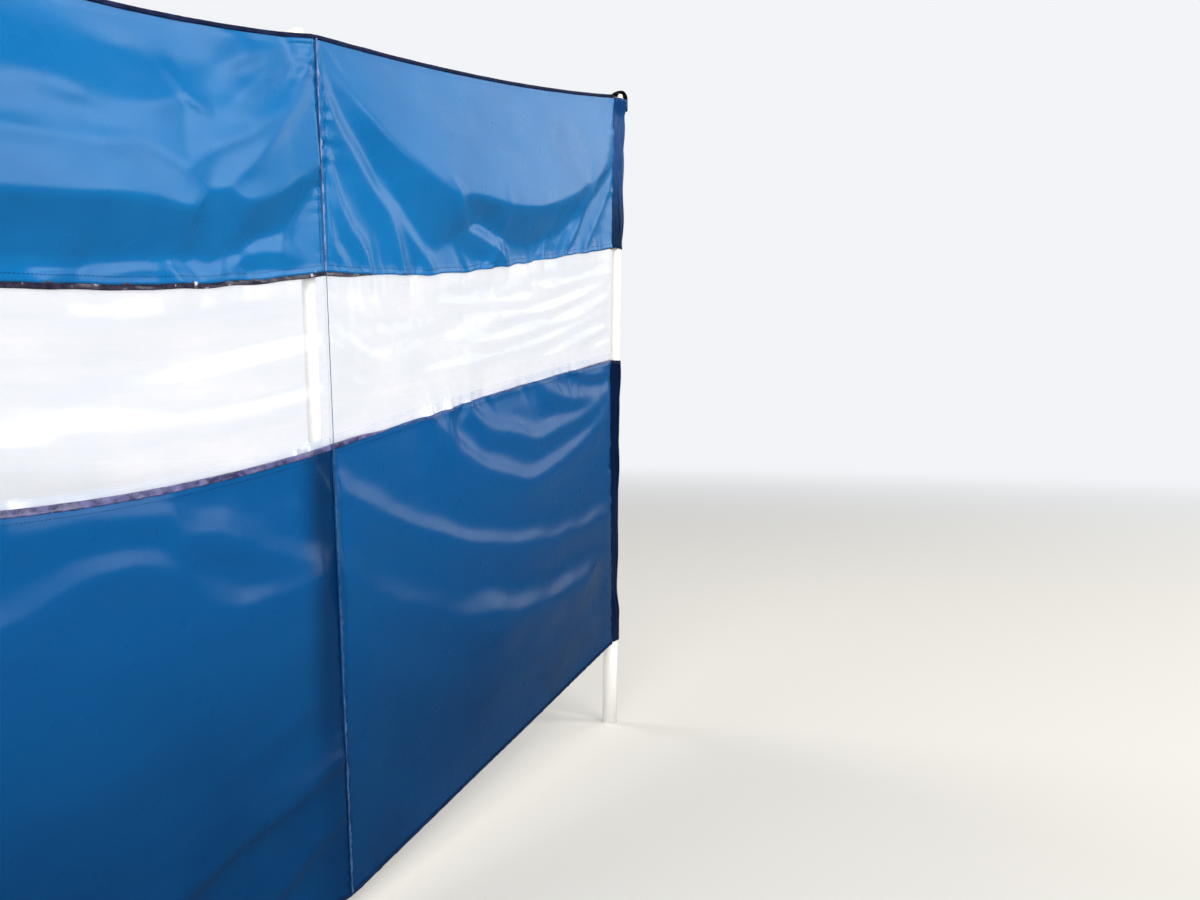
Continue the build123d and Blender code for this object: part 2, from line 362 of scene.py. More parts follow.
@dataclass
class Row:
    """Plan and driving sizes of the row, with each post's axes read from the frame.

    Sags are those of the hem, the window's two edges and the top, in that order.
    """

    bays: int = 4
    lower_band: float = 0.626
    window_band: float = 0.246
    upper_band: float = 0.328
    seam_offset: float = 0.014
    sleeve_width: float = 0.060
    end_reach: float = 0.030
    end_seam_front_low: float = 0.015
    end_seam_front_high: float = 0.001
    cloth_front: float = 0.01825
    end_lift: float = 0.188
    inner_lift: float = 0.031
    post_radius: float = 0.0095
    tube_radius: float = 0.016
    tube_overlap: float = 0.060
    collar_height: float = 0.004
    knob_height: float = 0.010
    end_sags: tuple[float, ...] = (0.0, -0.006, 0.018, 0.014)
    inner_sags: tuple[float, ...] = (0.018, 0.060, 0.058, 0.056)
    lower_belly: float = 0.022
    upper_belly: float = 0.004
    posts: list[PostAxes] = field(default_factory=list)

    def __post_init__(self) -> None:
        """Read where each post stands and how it leans."""
        ends = [self.post_ends(number) for number in range(self.bays + 1)]
        ups = [unit(high - low) for low, high in ends]
        feet = [low - up * low[2] / up[2] for (low, _), up in zip(ends, ups)]
        for number, (foot, up) in enumerate(zip(feet, ups)):
            left = max(number - 1, 0)
            along = unit((feet[left + 1] - feet[left]) * LEVEL)
            self.posts.append(PostAxes(foot, along, np.cross(up, along), up))

    def post_ends(self, post: int) -> tuple[Array, Array]:
        """Read a post tube's two ends from its frame node.

        Args:
            post: The post, from 0.

        Returns:
            The centres of its lower and upper ends.
        """
        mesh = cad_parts[f"post_{post + 1}"].data
        points = np.zeros(len(mesh.vertices) * 3)
        mesh.vertices.foreach_get("co", points)
        points = np.unique(np.round(points.reshape(-1, 3), 6), axis=0)
        middle = (points[:, 2].min() + points[:, 2].max()) / 2
        return points[points[:, 2] < middle].mean(0), points[points[:, 2] > middle].mean(0)

    @property
    def height(self) -> float:
        """Height of the cloth, measured up a post."""
        return self.lower_band + self.window_band + self.upper_band

    def level(self, edge: Edge) -> float:
        """Height up the cloth of one of its named lines."""
        levels = (0.0, self.lower_band, self.lower_band + self.window_band, self.height)
        return levels[list(Edge).index(edge)]

    def is_end(self, post: int) -> bool:
        """Whether a post stands at an end of the row."""
        return post in (0, self.bays)

    def lift(self, post: int) -> float:
        """Height of the cloth's lower edge above the ground at a post."""
        return self.end_lift if self.is_end(post) else self.inner_lift

    def sleeve_radius(self, heights: Array, narrow: float, room: float, flare: float) -> Array:
        """Radius of the cloth round a post, wide over the top of its ground tube.

        Args:
            heights: Heights up the cloth.
            narrow: Its radius up the thin tube.
            room: Its distance from the ground tube.
            flare: Height over which it narrows.

        Returns:
            The radius at each height.
        """
        wide = 1 - smoothstep((heights - self.tube_overlap) / flare)
        return narrow + wide * (self.tube_radius + room - narrow)

    def front(self, post: int, height: Array) -> Array:
        """How far the cloth's middle stands to the back of a post's axis.

        Args:
            post: The post, from 0.
            height: Heights up the cloth.

        Returns:
            The distances, negative to the front.
        """
        if not self.is_end(post):
            return np.full(np.shape(height), -self.cloth_front)
        share = np.clip(height / self.lower_band, 0.0, 1.0)
        return -self.end_seam_front_low + share * (self.end_seam_front_low - self.end_seam_front_high)

    def beside(self, post: int, along: float, height: Array) -> Array:
        """Places on the cloth's middle, at a distance along a post's own axes."""
        return self.posts[post].place(along, self.front(post, height), self.lift(post) + height)

    def ends(self, bay: int) -> tuple[float, float]:
        """Where a bay's free cloth starts and stops along the axes of its two posts."""
        start = self.end_reach if bay == 0 else self.seam_offset
        return start, -self.end_reach if bay == self.bays - 1 else self.seam_offset - self.sleeve_width

    def span(self, bay: int) -> float:
        """Work out the distance between a bay's two seams.

        Args:
            bay: The bay, from 0.

        Returns:
            The distance.
        """
        feet = self.posts[bay + 1].foot - self.posts[bay].foot
        start, stop = self.ends(bay)
        past = 0.0 if bay == self.bays - 1 else self.sleeve_width
        return float(np.linalg.norm(feet)) - start + stop + past

    def sag(self, bay: int, height: Array) -> Array:
        """How far a line of the cloth hangs down half-way along its bay."""
        sags = self.end_sags if bay in (0, self.bays - 1) else self.inner_sags
        return np.interp(height, [self.level(edge) for edge in Edge], sags)


@dataclass
class Bay:
    """One bay's surface: the hanging shape, its folds and the waves of its film.

    Fields: window_top_wave holds (share, rise) pairs of the window's upper edge, cover the
    (share, part) pairs of the lap tapes that the cloth hides, crumple the height of the
    faint creases, film_hold how far puckers run on into the film, tape_hold how far the
    edge tapes hold folds down, seam_hold the seams' own hold, and bulge and bulge_start how
    steeply the cloth may stand out from the seam beside an end post.
    """

    row: Row
    number: int
    folds: list[Fold]
    film_folds: list[Ridge]
    window_top_wave: Line
    cover: Line
    seed: int
    crumple: float = 0.0009
    film_hold: float = 0.030
    tape_hold: float = 0.060
    seam_hold: float = 0.010
    bulge: float = 0.26
    bulge_start: float = 0.0004

    @property
    def span(self) -> float:
        """Distance between the two seams."""
        return self.row.span(self.number)

    @property
    def is_last(self) -> bool:
        """Whether this is the bay on the right."""
        return self.number == self.row.bays - 1

    @property
    def free_share(self) -> float:
        """Share of the bay at which the cloth reaches the next post's sleeve."""
        return 1.0 if self.is_last else 1.0 - self.row.sleeve_width / self.span

    def hanging(self, share: Array, height: Array) -> tuple[Array, Array]:
        """Work out the smooth surface without folds.

        Args:
            share: Places along the bay, 0 to 1.
            height: Heights up the cloth.

        Returns:
            The points, and the level directions that the cloth faces.
        """
        row, bay, free = self.row, self.number, self.free_share
        start, stop = row.ends(bay)
        loose = np.minimum(share / free, 1.0)
        hung = height - row.sag(bay, height) * 4 * share * (1 - share) + self.wave(share, height)
        low, high = row.beside(bay, start, hung), row.beside(bay + 1, stop, hung)
        points = low + (high - low) * loose[..., None]
        if free < 1.0:
            past = np.clip((share - free) / (1 - free), 0.0, 1.0)[..., None]
            points = points + past * (row.beside(bay + 1, row.seam_offset, hung) - high)
        across = row.posts[bay].back * (1 - share[..., None]) + row.posts[bay + 1].back * share[..., None]
        facing = -unit(across * LEVEL)
        lower = np.sin(math.pi * np.clip(height / row.lower_band, 0, 1))
        upper = np.sin(math.pi * np.clip((height - row.level(Edge.WINDOW_TOP)) / row.upper_band, 0, 1))
        belly = row.lower_belly * lower + row.upper_belly * upper
        return points + facing * (belly * np.sin(math.pi * loose) ** 2)[..., None], facing

    def wave(self, share: Array, height: Array) -> Array:
        """Read how far the window's upper edge leaves its smooth line.

        Args:
            share: Places along the bay, 0 to 1.
            height: Heights up the cloth.

        Returns:
            The distance upwards.
        """
        near = np.exp(-(((height - self.row.level(Edge.WINDOW_TOP)) / 0.07) ** 2))
        fine = Ripple(0.0012, 0.035, 0.11, self.seed + 40, 1.0, 5).at(share * self.span, 0 * share)
        return near * (follow(self.window_top_wave, share)[0] + fine * 4 * share * (1 - share))

    def beside_seams(self, share: Array) -> Array:
        """How free the cloth is to fold: 0 at its seams and 1 away from them."""
        left, right = share * self.span, (1 - share) * self.span
        return smoothstep(left / self.seam_hold) * smoothstep(right / self.seam_hold)

    def beside_tapes(self, height: Array) -> Array:
        """How free the cloth is to fold beside the tapes along its top and its hem."""
        top = smoothstep((self.row.height - height) / self.tape_hold)
        return (0.22 + 0.78 * top) * (0.40 + 0.60 * smoothstep(height / self.tape_hold))

    def end_limit(self, share: Array) -> Array:
        """Work out how far the cloth can stand out beside the seam at an end post.

        Args:
            share: Places along the bay, 0 to 1.

        Returns:
            The limit at each place.
        """
        off = np.full(np.shape(share), 10.0)
        if self.number == 0:
            off = share * self.span
        if self.is_last:
            off = (1 - share) * self.span
        return self.bulge_start + self.bulge * off

    def seam_pucker(self, share: Array, height: Array) -> Array:
        """Read the tight ripples across each seam, drawn up by its thread.

        Args:
            share: Places along the bay, 0 to 1.
            height: Heights up the cloth.

        Returns:
            How far they stand out, with a groove along the seam.
        """
        total = np.zeros(np.broadcast(share, height).shape)
        level = 0 * height
        for side, off in enumerate((share * self.span, (1 - share) * self.span)):
            wave = Ripple(1.0, 0.012, 0.034, self.seed + 60 + side, 1.0, 6)
            swell = Ripple(0.8, 0.10, 0.26, self.seed + 70 + side, 1.0, 4)
            ripple = wave.at(level, height) * np.maximum(0.5 + swell.at(level, height), 0.1)
            total += 0.0011 * ripple * np.exp(-off / 0.016) * smoothstep(off / 0.003)
            total -= 0.0010 * np.exp(-((off / 0.0040) ** 2))
        return total

    def band_rise(self, share: Array, height: Array) -> Array:
        """Add up the cloth's folds.

        Args:
            share: Places along the bay, 0 to 1.
            height: Heights up the cloth.

        Returns:
            How far the folded cloth stands out.
        """
        x = share * self.span
        bent = share + Ripple(0.0018, 0.10, 0.30, self.seed + 1).at(x, height) / self.span
        drifted = height + Ripple(0.0018, 0.10, 0.30, self.seed + 2).at(x, height)
        held = np.zeros(np.broadcast(share, height).shape)
        loose = np.zeros(held.shape)
        for fold in self.folds:
            if isinstance(fold, Gather):
                held += fold.at(share, height, self.span)
            elif fold.loose:
                loose += fold.at(share, height, self.span)
            else:
                held += fold.at(bent, drifted, self.span)
        held += Ripple(self.crumple, 0.07, 0.24, self.seed + 3, 3.0).at(x, height)
        held += Ripple(0.2 * self.crumple, 0.025, 0.06, self.seed + 4, 3.0, 14).at(x, height)
        total = (held * self.beside_tapes(height) + loose) * self.beside_seams(share)
        limit = self.end_limit(share)
        total = np.where(total > 0, limit * np.tanh(total / limit), total)
        if not self.is_last:
            # The post in its sleeve stops the cloth from folding to the back.
            backed = smoothstep((share - self.free_share) * self.span / 0.03 + 1.0)
            total = np.where(total < 0, total * (1 - 0.85 * backed), total)
        return total + self.seam_pucker(share, height)

    def rise(self, share: Array, height: Array) -> Array:
        """Add up the folds anywhere: the film takes up its edges' folds and soon loses them.

        Args:
            share: Places along the bay, 0 to 1.
            height: Heights up the cloth.

        Returns:
            How far cloth or film stands out.
        """
        low, high = self.row.level(Edge.WINDOW_BOTTOM), self.row.level(Edge.WINDOW_TOP)
        fade_up = np.exp(-np.maximum(height - low, 0) / self.film_hold)
        fade_down = np.exp(-np.maximum(high - height, 0) / self.film_hold)
        lower = self.band_rise(share, np.minimum(height, low)) * fade_up
        upper = self.band_rise(share, np.maximum(height, high)) * fade_down
        return np.where(height < low, lower, np.where(height > high, upper, lower + upper))

    def point(self, share: Array, height: Array, proud: Array | float = 0.0) -> Array:
        """Find places on the folded cloth.

        Args:
            share: Places along the bay, 0 to 1.
            height: Heights up the cloth.
            proud: How far in front of the cloth's middle.

        Returns:
            The points, in metres.
        """
        points, facing = self.hanging(share, height)
        return points + facing * (self.rise(share, height) + proud)[..., None]

    def film_rise(self, share: Array, height: Array) -> Array:
        """Read the creases of the clear film, strongest half-way up the window.

        Args:
            share: Places along the bay, 0 to 1.
            height: Heights up the cloth.

        Returns:
            How far they stand out.
        """
        x = share * self.span
        up = (height - self.row.level(Edge.WINDOW_BOTTOM)) / self.row.window_band
        level = Ripple(0.0008, 0.030, 0.080, self.seed + 20, 7.0, 7).at(x, height - 0.06 * x)
        steep = Ripple(0.0002, 0.03, 0.09, self.seed + 21, 0.35, 8).at(x, height)
        broad = Ripple(0.0018, 0.12, 0.30, self.seed + 22, 1.2, 6).at(x, height)
        right = smoothstep((share - 0.35) / 0.4)
        left = 1 - smoothstep((share - 0.05) / 0.35)
        creases = sum((fold.at(share, height, self.span) for fold in self.film_folds), 0 * x)
        waves = level * (0.3 + right) + steep * (0.3 + left) + broad + creases
        return waves * 4 * np.clip(up * (1 - up), 0, 1) * self.beside_seams(share)


def spaced(low: float, high: float, step: float, fine: float, border: float) -> Array:
    """Choose places from low to high that lie closer together near both ends.

    Args:
        low: First place.
        high: Last place.
        step: Gap away from the ends.
        fine: Gap within the border.
        border: Width of the fine stretch at each end.

    Returns:
        The places, rising.
    """
    start = np.linspace(low, low + border, max(2, round(border / fine)) + 1)[:-1]
    middle_count = max(2, round((high - low - 2 * border) / step))
    middle = np.linspace(low + border, high - border, middle_count + 1)
    return np.concatenate([start, middle, (high + low) - start[::-1]])


def new_object(name: str, points: Array, faces: list[tuple[int, ...]]) -> Object:
    """Make a mesh object with smooth faces.

    Args:
        name: The piece's name.
        points: Its corners.
        faces: Corner numbers of each face.

    Returns:
        The new object, linked into the scene.
    """
    mesh = bpy.data.meshes.new(name)
    mesh.from_pydata([tuple(point) for point in points.reshape(-1, 3)], [], faces)
    mesh.shade_smooth()
    mesh.update()
    piece = bpy.data.objects.new(name, mesh)
    bpy.context.scene.collection.objects.link(piece)
    return piece


def grid_faces(rows: int, columns: int, round_rows: bool = False) -> list[tuple[int, ...]]:
    """List the faces of a grid of corners, numbered row by row.

    Args:
        rows: Rows of corners.
        columns: Corners in a row.
        round_rows: Whether each row closes on itself.

    Returns:
        Corner numbers of each face.
    """
    faces = []
    for low in range(0, (rows - 1) * columns, columns):
        for column in range(columns if round_rows else columns - 1):
            right = (column + 1) % columns
            faces.append((low + column, low + right, low + columns + right, low + columns + column))
    return faces


def lay_flat(piece: Object, flat: Array) -> None:
    """Keep each corner's place on the flat cut as the piece's UV map.

    Args:
        piece: The piece.
        flat: Place of each corner, in metres.
    """
    uv = piece.data.uv_layers.new(name="cut")
    corners = np.zeros(len(piece.data.loops), int)
    piece.data.loops.foreach_get("vertex_index", corners)
    uv.data.foreach_set("uv", flat.reshape(-1, 2)[corners].ravel())


def sheet_object(
    name: str, points: Array, flat: Array, thickness: float, flip: bool = False
) -> Object:
    """Make a sheet from a grid of points, with its cut in the UV map and a real thickness.

    Args:
        name: The piece's name.
        points: Corners, as rows by columns by 3.
        flat: Each corner's place on the flat cut in metres, as rows by columns by 2.
        thickness: Thickness of the sheet.
        flip: Whether to turn the faces over.

    Returns:
        The sheet.
    """
    faces = grid_faces(*points.shape[:2])
    piece = new_object(name, points, [face[::-1] for face in faces] if flip else faces)
    lay_flat(piece, flat)
    solid = piece.modifiers.new("thickness", "SOLIDIFY")
    solid.thickness = thickness
    solid.offset = 0.0
    return piece


def outwards(piece: Object) -> None:
    """Merge a mesh's doubles and turn its faces outwards.

    Args:
        piece: The piece.
    """
    work = bmesh.new()
    work.from_mesh(piece.data)
    bmesh.ops.remove_doubles(work, verts=work.verts, dist=1e-6)
    bmesh.ops.recalc_face_normals(work, faces=work.faces)
    work.to_mesh(piece.data)
    work.free()
    piece.data.shade_smooth()


def tube_object(name: str, points: Array) -> Object:
    """Make a closed tube from rings of points.

    Args:
        name: The piece's name.
        points: Corners, as rings by corners by 3.

    Returns:
        The tube, with its faces turned outwards and its length in the UV map.
    """
    rings, sides = points.shape[:2]
    ends = [tuple(range(sides))[::-1], tuple((rings - 1) * sides + side for side in range(sides))]
    piece = new_object(name, points, grid_faces(rings, sides, round_rows=True) + ends)
    length = np.concatenate([[0], np.cumsum(np.linalg.norm(np.diff(points.mean(1), axis=0), axis=1))])
    run, turn = np.meshgrid(length, np.arange(sides) / sides * 0.01, indexing="ij")
    lay_flat(piece, np.stack([run, turn], -1))
    outwards(piece)
    return piece


def turned_piece(
    name: str, axes: PostAxes, profile: list[tuple[float, float]], sides: int = 48, level: bool = False
) -> Object:
    """Turn a profile round a post's axis.

    Args:
        name: The piece's name.
        axes: The post's axes.
        profile: (radius, height) pairs, from the bottom's centre round to the top's.
        sides: Corners of each ring.
        level: Whether rings at a height of 0 are cut level with the ground.

    Returns:
        The turned piece.
    """
    turns = np.linspace(0.0, 2 * math.pi, sides, endpoint=False)
    rings = []
    for radius, height in profile:
        x, y, z = radius * np.cos(turns), radius * np.sin(turns), np.full(sides, height)
        if level and height == 0:
            z = -(x * axes.along[2] + y * axes.back[2]) / axes.up[2]
        rings.append(axes.place(x, y, z))
    piece = new_object(name, np.stack(rings), grid_faces(len(profile), sides, round_rows=True))
    outwards(piece)
    return piece


def rounded(corners: list[tuple[float, float]], radius: float, steps: int) -> list[tuple[float, float]]:
    """Round the inner corners of a profile.

    Args:
        corners: The profile's corners.
        radius: How far from a corner the rounding starts.
        steps: Points of each round.

    Returns:
        The profile with round corners.
    """
    result = [corners[0]]
    for before, corner, after in zip(corners, corners[1:], corners[2:]):
        arms = [np.array(other) - np.array(corner) for other in (before, after)]
        lengths = [float(np.linalg.norm(arm)) for arm in arms]
        cut = min(radius, 0.45 * lengths[0], 0.45 * lengths[1])
        start, stop = (np.array(corner) + arm / length * cut for arm, length in zip(arms, lengths))
        for step in range(steps + 1):
            t = step / steps
            point = (1 - t) ** 2 * start + 2 * t * (1 - t) * np.array(corner) + t**2 * stop
            result.append((float(point[0]), float(point[1])))
    result.append(corners[-1])
    return result


def hex_linear(code: str) -> tuple[float, float, float, float]:
    """Turn an sRGB hex colour into the linear one that shaders use.

    Args:
        code: Colour such as "#1B5E9E".

    Returns:
        Linear red, green, blue and alpha.
    """
    parts = [int(code[place : place + 2], 16) / 255 for place in (1, 3, 5)]
    linear = [part / 12.92 if part <= 0.04045 else ((part + 0.055) / 1.055) ** 2.4 for part in parts]
    return (*linear, 1.0)


def feed(tree: NodeTree, node: Node, inputs: dict[str | int, object]) -> None:
    """Set or link inputs of a node.

    Args:
        tree: The node's tree.
        node: The node.
        inputs: What feeds each input, by its name or number: a value, an sRGB hex colour, a
            node whose first output is linked, or a node with the name of its output.
    """
    for key, value in inputs.items():
        if isinstance(value, Node):
            value = (value, 0)
        if isinstance(value, tuple) and isinstance(value[0], Node):
            tree.links.new(value[0].outputs[value[1]], node.inputs[key])
        else:
            node.inputs[key].default_value = hex_linear(value) if isinstance(value, str) else value


def add_node(
    tree: NodeTree,
    kind: str,
    inputs: dict[str | int, object] | None = None,
    stops: tuple[tuple[float, str], ...] = (),
    **settings: str,
) -> Node:
    """Add a node with its settings and what feeds it.

    Args:
        tree: Node tree to add it to.
        kind: Node type, such as "ShaderNodeMix".
        inputs: What feeds its inputs, as feed() takes it.
        stops: (place, sRGB hex) pairs of a colour ramp.
        settings: Properties of the node.

    Returns:
        The new node.
    """
    node = tree.nodes.new(kind)
    for key, value in settings.items():
        setattr(node, key, value)
    feed(tree, node, inputs or {})
    if stops:
        elements = node.color_ramp.elements
        while len(elements) < len(stops):
            elements.new(1.0)
        for element, (place, code) in zip(elements, stops):
            element.position, element.color = place, hex_linear(code)
    return node


@dataclass(frozen=True)
class Finish:
    """What all finishes share: a name, a slot name, and a shader."""

    name: str
    slot: str = ""

    def material(self) -> Material:
        """The finish's material, made the first time that a piece asks for it."""
        return bpy.data.materials.get(self.name) or self.build()

    def build(self) -> Material:
        """Make the material, with a Principled shader for the finish to paint.

        Returns:
            The material.
        """
        material = bpy.data.materials.new(self.name)
        material.use_nodes = True
        tree = material.node_tree
        tree.nodes.clear()
        shader = add_node(tree, "ShaderNodeBsdfPrincipled")
        add_node(tree, "ShaderNodeOutputMaterial", {"Surface": shader})
        self.paint(tree, shader)
        return material

    def paint(self, tree: NodeTree, shader: Node) -> None:
        """Feed the shader: each finish has its own way."""
        raise NotImplementedError


@dataclass(frozen=True)
class CoatedPolyester(Finish):
    """Plain-woven polyester with a thin waterproof coat.

    The coat gives a satin sheen that lightens the cloth at a low angle, the yarn a faint
    grid, and use leaves fine crinkles. The real yarn, 0.25 mm apart, is too fine to show,
    so the grid is drawn at the yarn field's width. Painted_height_tone is the colour past
    ramp_to: painted light or shade that changes with height up the cloth. Double_shade is
    painted shade where the cloth lies two layers thick over a sleeve.
    """

    shade: str = "#1A66A8"
    deep: str = "#0B4C8C"
    double_shade: str = "#0B3F7A"
    painted_height_tone: str = "#1A66A8"
    ramp_from: float = 10.0
    ramp_to: float = 20.0
    gloss: float = 0.08
    roughness: float = 0.27
    yarn: float = 1.6 * MM
    crinkle: float = 54 * MM
    mottle: float = 1000 / 7 * MM
    double_shade_from: float = 10.0
    double_shade_blur: float = 26 * MM

    def paint(self, tree: NodeTree, shader: Node) -> None:
        """Feed the shader with the dye, its painted light and shade by height and over the two-layer cloth,
        the weave and the crinkles.

        Args:
            tree: The material's tree.
            shader: Its Principled shader.
        """
        place = add_node(tree, "ShaderNodeTexCoord")
        cut = add_node(tree, "ShaderNodeSeparateXYZ", {0: (place, "UV")})
        mottle = add_node(tree, "ShaderNodeTexNoise", {
            "Vector": (place, "Object"), "Scale": 1 / self.mottle, "Detail": 5.0, "Roughness": 0.6})
        dye = add_node(tree, "ShaderNodeValToRGB", {"Fac": mottle}, ((0.30, self.deep), (0.62, self.shade)))
        # Painted light and shade by height: the dye ramps to painted_height_tone between ramp_from and
        # ramp_to.
        height_tone_mask = add_node(tree, "ShaderNodeMapRange", {
            "Value": (cut, "Y"), "From Min": self.ramp_from, "From Max": self.ramp_to},
            interpolation_type="SMOOTHSTEP")
        wear_and_painted_light = add_node(tree, "ShaderNodeMix", {"Factor": height_tone_mask, 6: dye, 7: self.painted_height_tone}, data_type="RGBA")
        waves = []
        for axis in ("X", "Y"):
            turn = add_node(tree, "ShaderNodeMath", {0: (cut, axis), 1: 2 * math.pi / self.yarn},
                            operation="MULTIPLY")
            waves.append(add_node(tree, "ShaderNodeMath", {0: turn}, operation="SINE"))
        weave = add_node(tree, "ShaderNodeMath", {0: waves[0], 1: waves[1]}, operation="MULTIPLY")
        tint = add_node(tree, "ShaderNodeMath", {0: weave, 1: 0.035, 2: 1.0}, operation="MULTIPLY_ADD")
        # Painted shade: darker where the cloth lies two layers thick over a sleeve, as it looks when lit from
        # behind.
        double_shade_mask = add_node(tree, "ShaderNodeMapRange", {
            "Value": (cut, "X"), "From Min": self.double_shade_from - self.double_shade_blur,
            "From Max": self.double_shade_from + self.double_shade_blur}, interpolation_type="SMOOTHSTEP")
        double_shaded = add_node(tree, "ShaderNodeMix", {"Factor": double_shade_mask, 6: (wear_and_painted_light, 2), 7: self.double_shade},
                           data_type="RGBA")
        shaded = add_node(tree, "ShaderNodeVectorMath", {0: (double_shaded, 2), "Scale": tint}, operation="SCALE")
        crinkle = add_node(tree, "ShaderNodeTexNoise", {
            "Vector": (place, "Object"), "Scale": 1 / self.crinkle, "Detail": 3.0})
        dull = add_node(tree, "ShaderNodeMapRange", {
            "Value": crinkle, "To Min": self.roughness - 0.06, "To Max": self.roughness + 0.10})
        soft = add_node(tree, "ShaderNodeBump", {"Height": crinkle, "Strength": 0.14, "Distance": 2.0 * MM})
        fine = add_node(tree, "ShaderNodeBump", {
            "Height": weave, "Strength": 0.05, "Distance": 0.10 * MM, "Normal": soft})
        feed(tree, shader, {"Base Color": shaded, "Roughness": dull, "Normal": fine,
                            "Specular IOR Level": self.gloss, "Specular Tint": "#DCEBFF"})


@dataclass(frozen=True)
class ClearFilm(Finish):
    """Calendered PVC film: clear but a little milky, with glints along its creases.

    Lap_from and lap_to are the heights up the cloth between which the film turns milky down to the sewn lap;
    the narrow milky strip that shows just above the lower tape is a painted highlight of the lit film edge.
    """

    milk: str = "#ECEAF3"
    thin: str = "#C4D0E6"
    haze: float = 0.16
    streak_length: float = 420 * MM
    streak_width: float = 34 * MM
    cloud: float = 110 * MM
    lap_from: float = 0.644
    lap_to: float = 0.638

    def paint(self, tree: NodeTree, shader: Node) -> None:
        """Feed the shader with the film's haze, drawn out along the roll, and its lap, with a painted
        highlight above the lower tape.

        Args:
            tree: The material's tree.
            shader: Its Principled shader.
        """
        place = add_node(tree, "ShaderNodeTexCoord")
        cut = add_node(tree, "ShaderNodeSeparateXYZ", {0: (place, "UV")})
        drawn = add_node(tree, "ShaderNodeMapping", {
            "Vector": (place, "UV"), "Scale": (1 / self.streak_length, 1 / self.streak_width, 1.0)})
        streaks = add_node(tree, "ShaderNodeTexNoise", {
            "Vector": drawn, "Scale": 1.0, "Detail": 4.0, "Roughness": 0.55})
        clouds = add_node(tree, "ShaderNodeTexNoise", {
            "Vector": (place, "Object"), "Scale": 1 / self.cloud, "Detail": 4.0})
        both = add_node(tree, "ShaderNodeMath", {0: streaks, 1: clouds}, operation="MULTIPLY")
        haze = add_node(tree, "ShaderNodeMapRange", {
            "Value": both, "From Min": 0.15, "From Max": 0.42,
            "To Min": self.haze - 0.05, "To Max": self.haze + 0.10})
        # The milky lap is real below the tape; the strip of it that shows above the tape is a painted
        # highlight.
        lap = add_node(tree, "ShaderNodeMapRange", {
            "Value": (cut, "Y"), "From Min": self.lap_from, "From Max": self.lap_to, "To Max": 0.4})
        whole = add_node(tree, "ShaderNodeMath", {0: haze, 1: lap}, operation="ADD")
        tone = add_node(tree, "ShaderNodeValToRGB", {"Fac": both}, ((0.12, self.thin), (0.40, self.milk)))
        bump = add_node(tree, "ShaderNodeBump", {"Height": streaks, "Strength": 0.25, "Distance": 0.8 * MM})
        feed(tree, shader, {"Base Color": tone, "Alpha": whole, "Normal": bump, "Roughness": 0.12,
                            "IOR": 1.54, "Specular IOR Level": 0.9})


@dataclass(frozen=True)
class WovenTape(Finish):
    """Narrow woven tape with a calendered face: dark, with a broken shine and fine ribs.

    Where the tape is film-faced, painted_glint is the colour of painted glints: spots painted pale as if they
    caught the sun.
    """

    shade: str = "#071329"
    light: str = "#23274E"
    roughness: float = 0.48
    gloss: float = 0.04
    painted_glint: str = ""
    rib: float = 1.4 * MM
    fray: float = 50 / 3 * MM

    def paint(self, tree: NodeTree, shader: Node) -> None:
        """Feed the shader with the tape's wear, its painted glints where it has them, its ribs and its broken
        shine.

        Args:
            tree: The material's tree.
            shader: Its Principled shader.
        """
        place = add_node(tree, "ShaderNodeTexCoord")
        cut = add_node(tree, "ShaderNodeSeparateXYZ", {0: (place, "UV")})
        wear_and_painted_light = add_node(tree, "ShaderNodeTexNoise", {
            "Vector": (place, "Object"), "Scale": 1 / self.fray, "Detail": 5.0, "Roughness": 0.65})
        stops = ((0.35, self.shade), (0.70, self.light))
        if self.painted_glint:
            stops = ((0.35, self.shade), (0.60, self.light), (0.66, self.painted_glint))
        tone = add_node(tree, "ShaderNodeValToRGB", {"Fac": wear_and_painted_light}, stops)
        turn = add_node(tree, "ShaderNodeMath", {0: (cut, "X"), 1: 2 * math.pi / self.rib},
                        operation="MULTIPLY")
        rib = add_node(tree, "ShaderNodeMath", {0: turn}, operation="SINE")
        coarse = add_node(tree, "ShaderNodeBump", {"Height": wear_and_painted_light, "Strength": 0.6, "Distance": 1.2 * MM})
        bump = add_node(tree, "ShaderNodeBump", {
            "Height": rib, "Strength": 0.4, "Distance": 0.15 * MM, "Normal": coarse})
        dull = add_node(tree, "ShaderNodeMapRange", {
            "Value": wear_and_painted_light, "To Min": self.roughness - 0.12, "To Max": self.roughness + 0.25})
        feed(tree, shader, {"Base Color": tone, "Roughness": dull, "Normal": bump,
                            "Specular IOR Level": self.gloss})


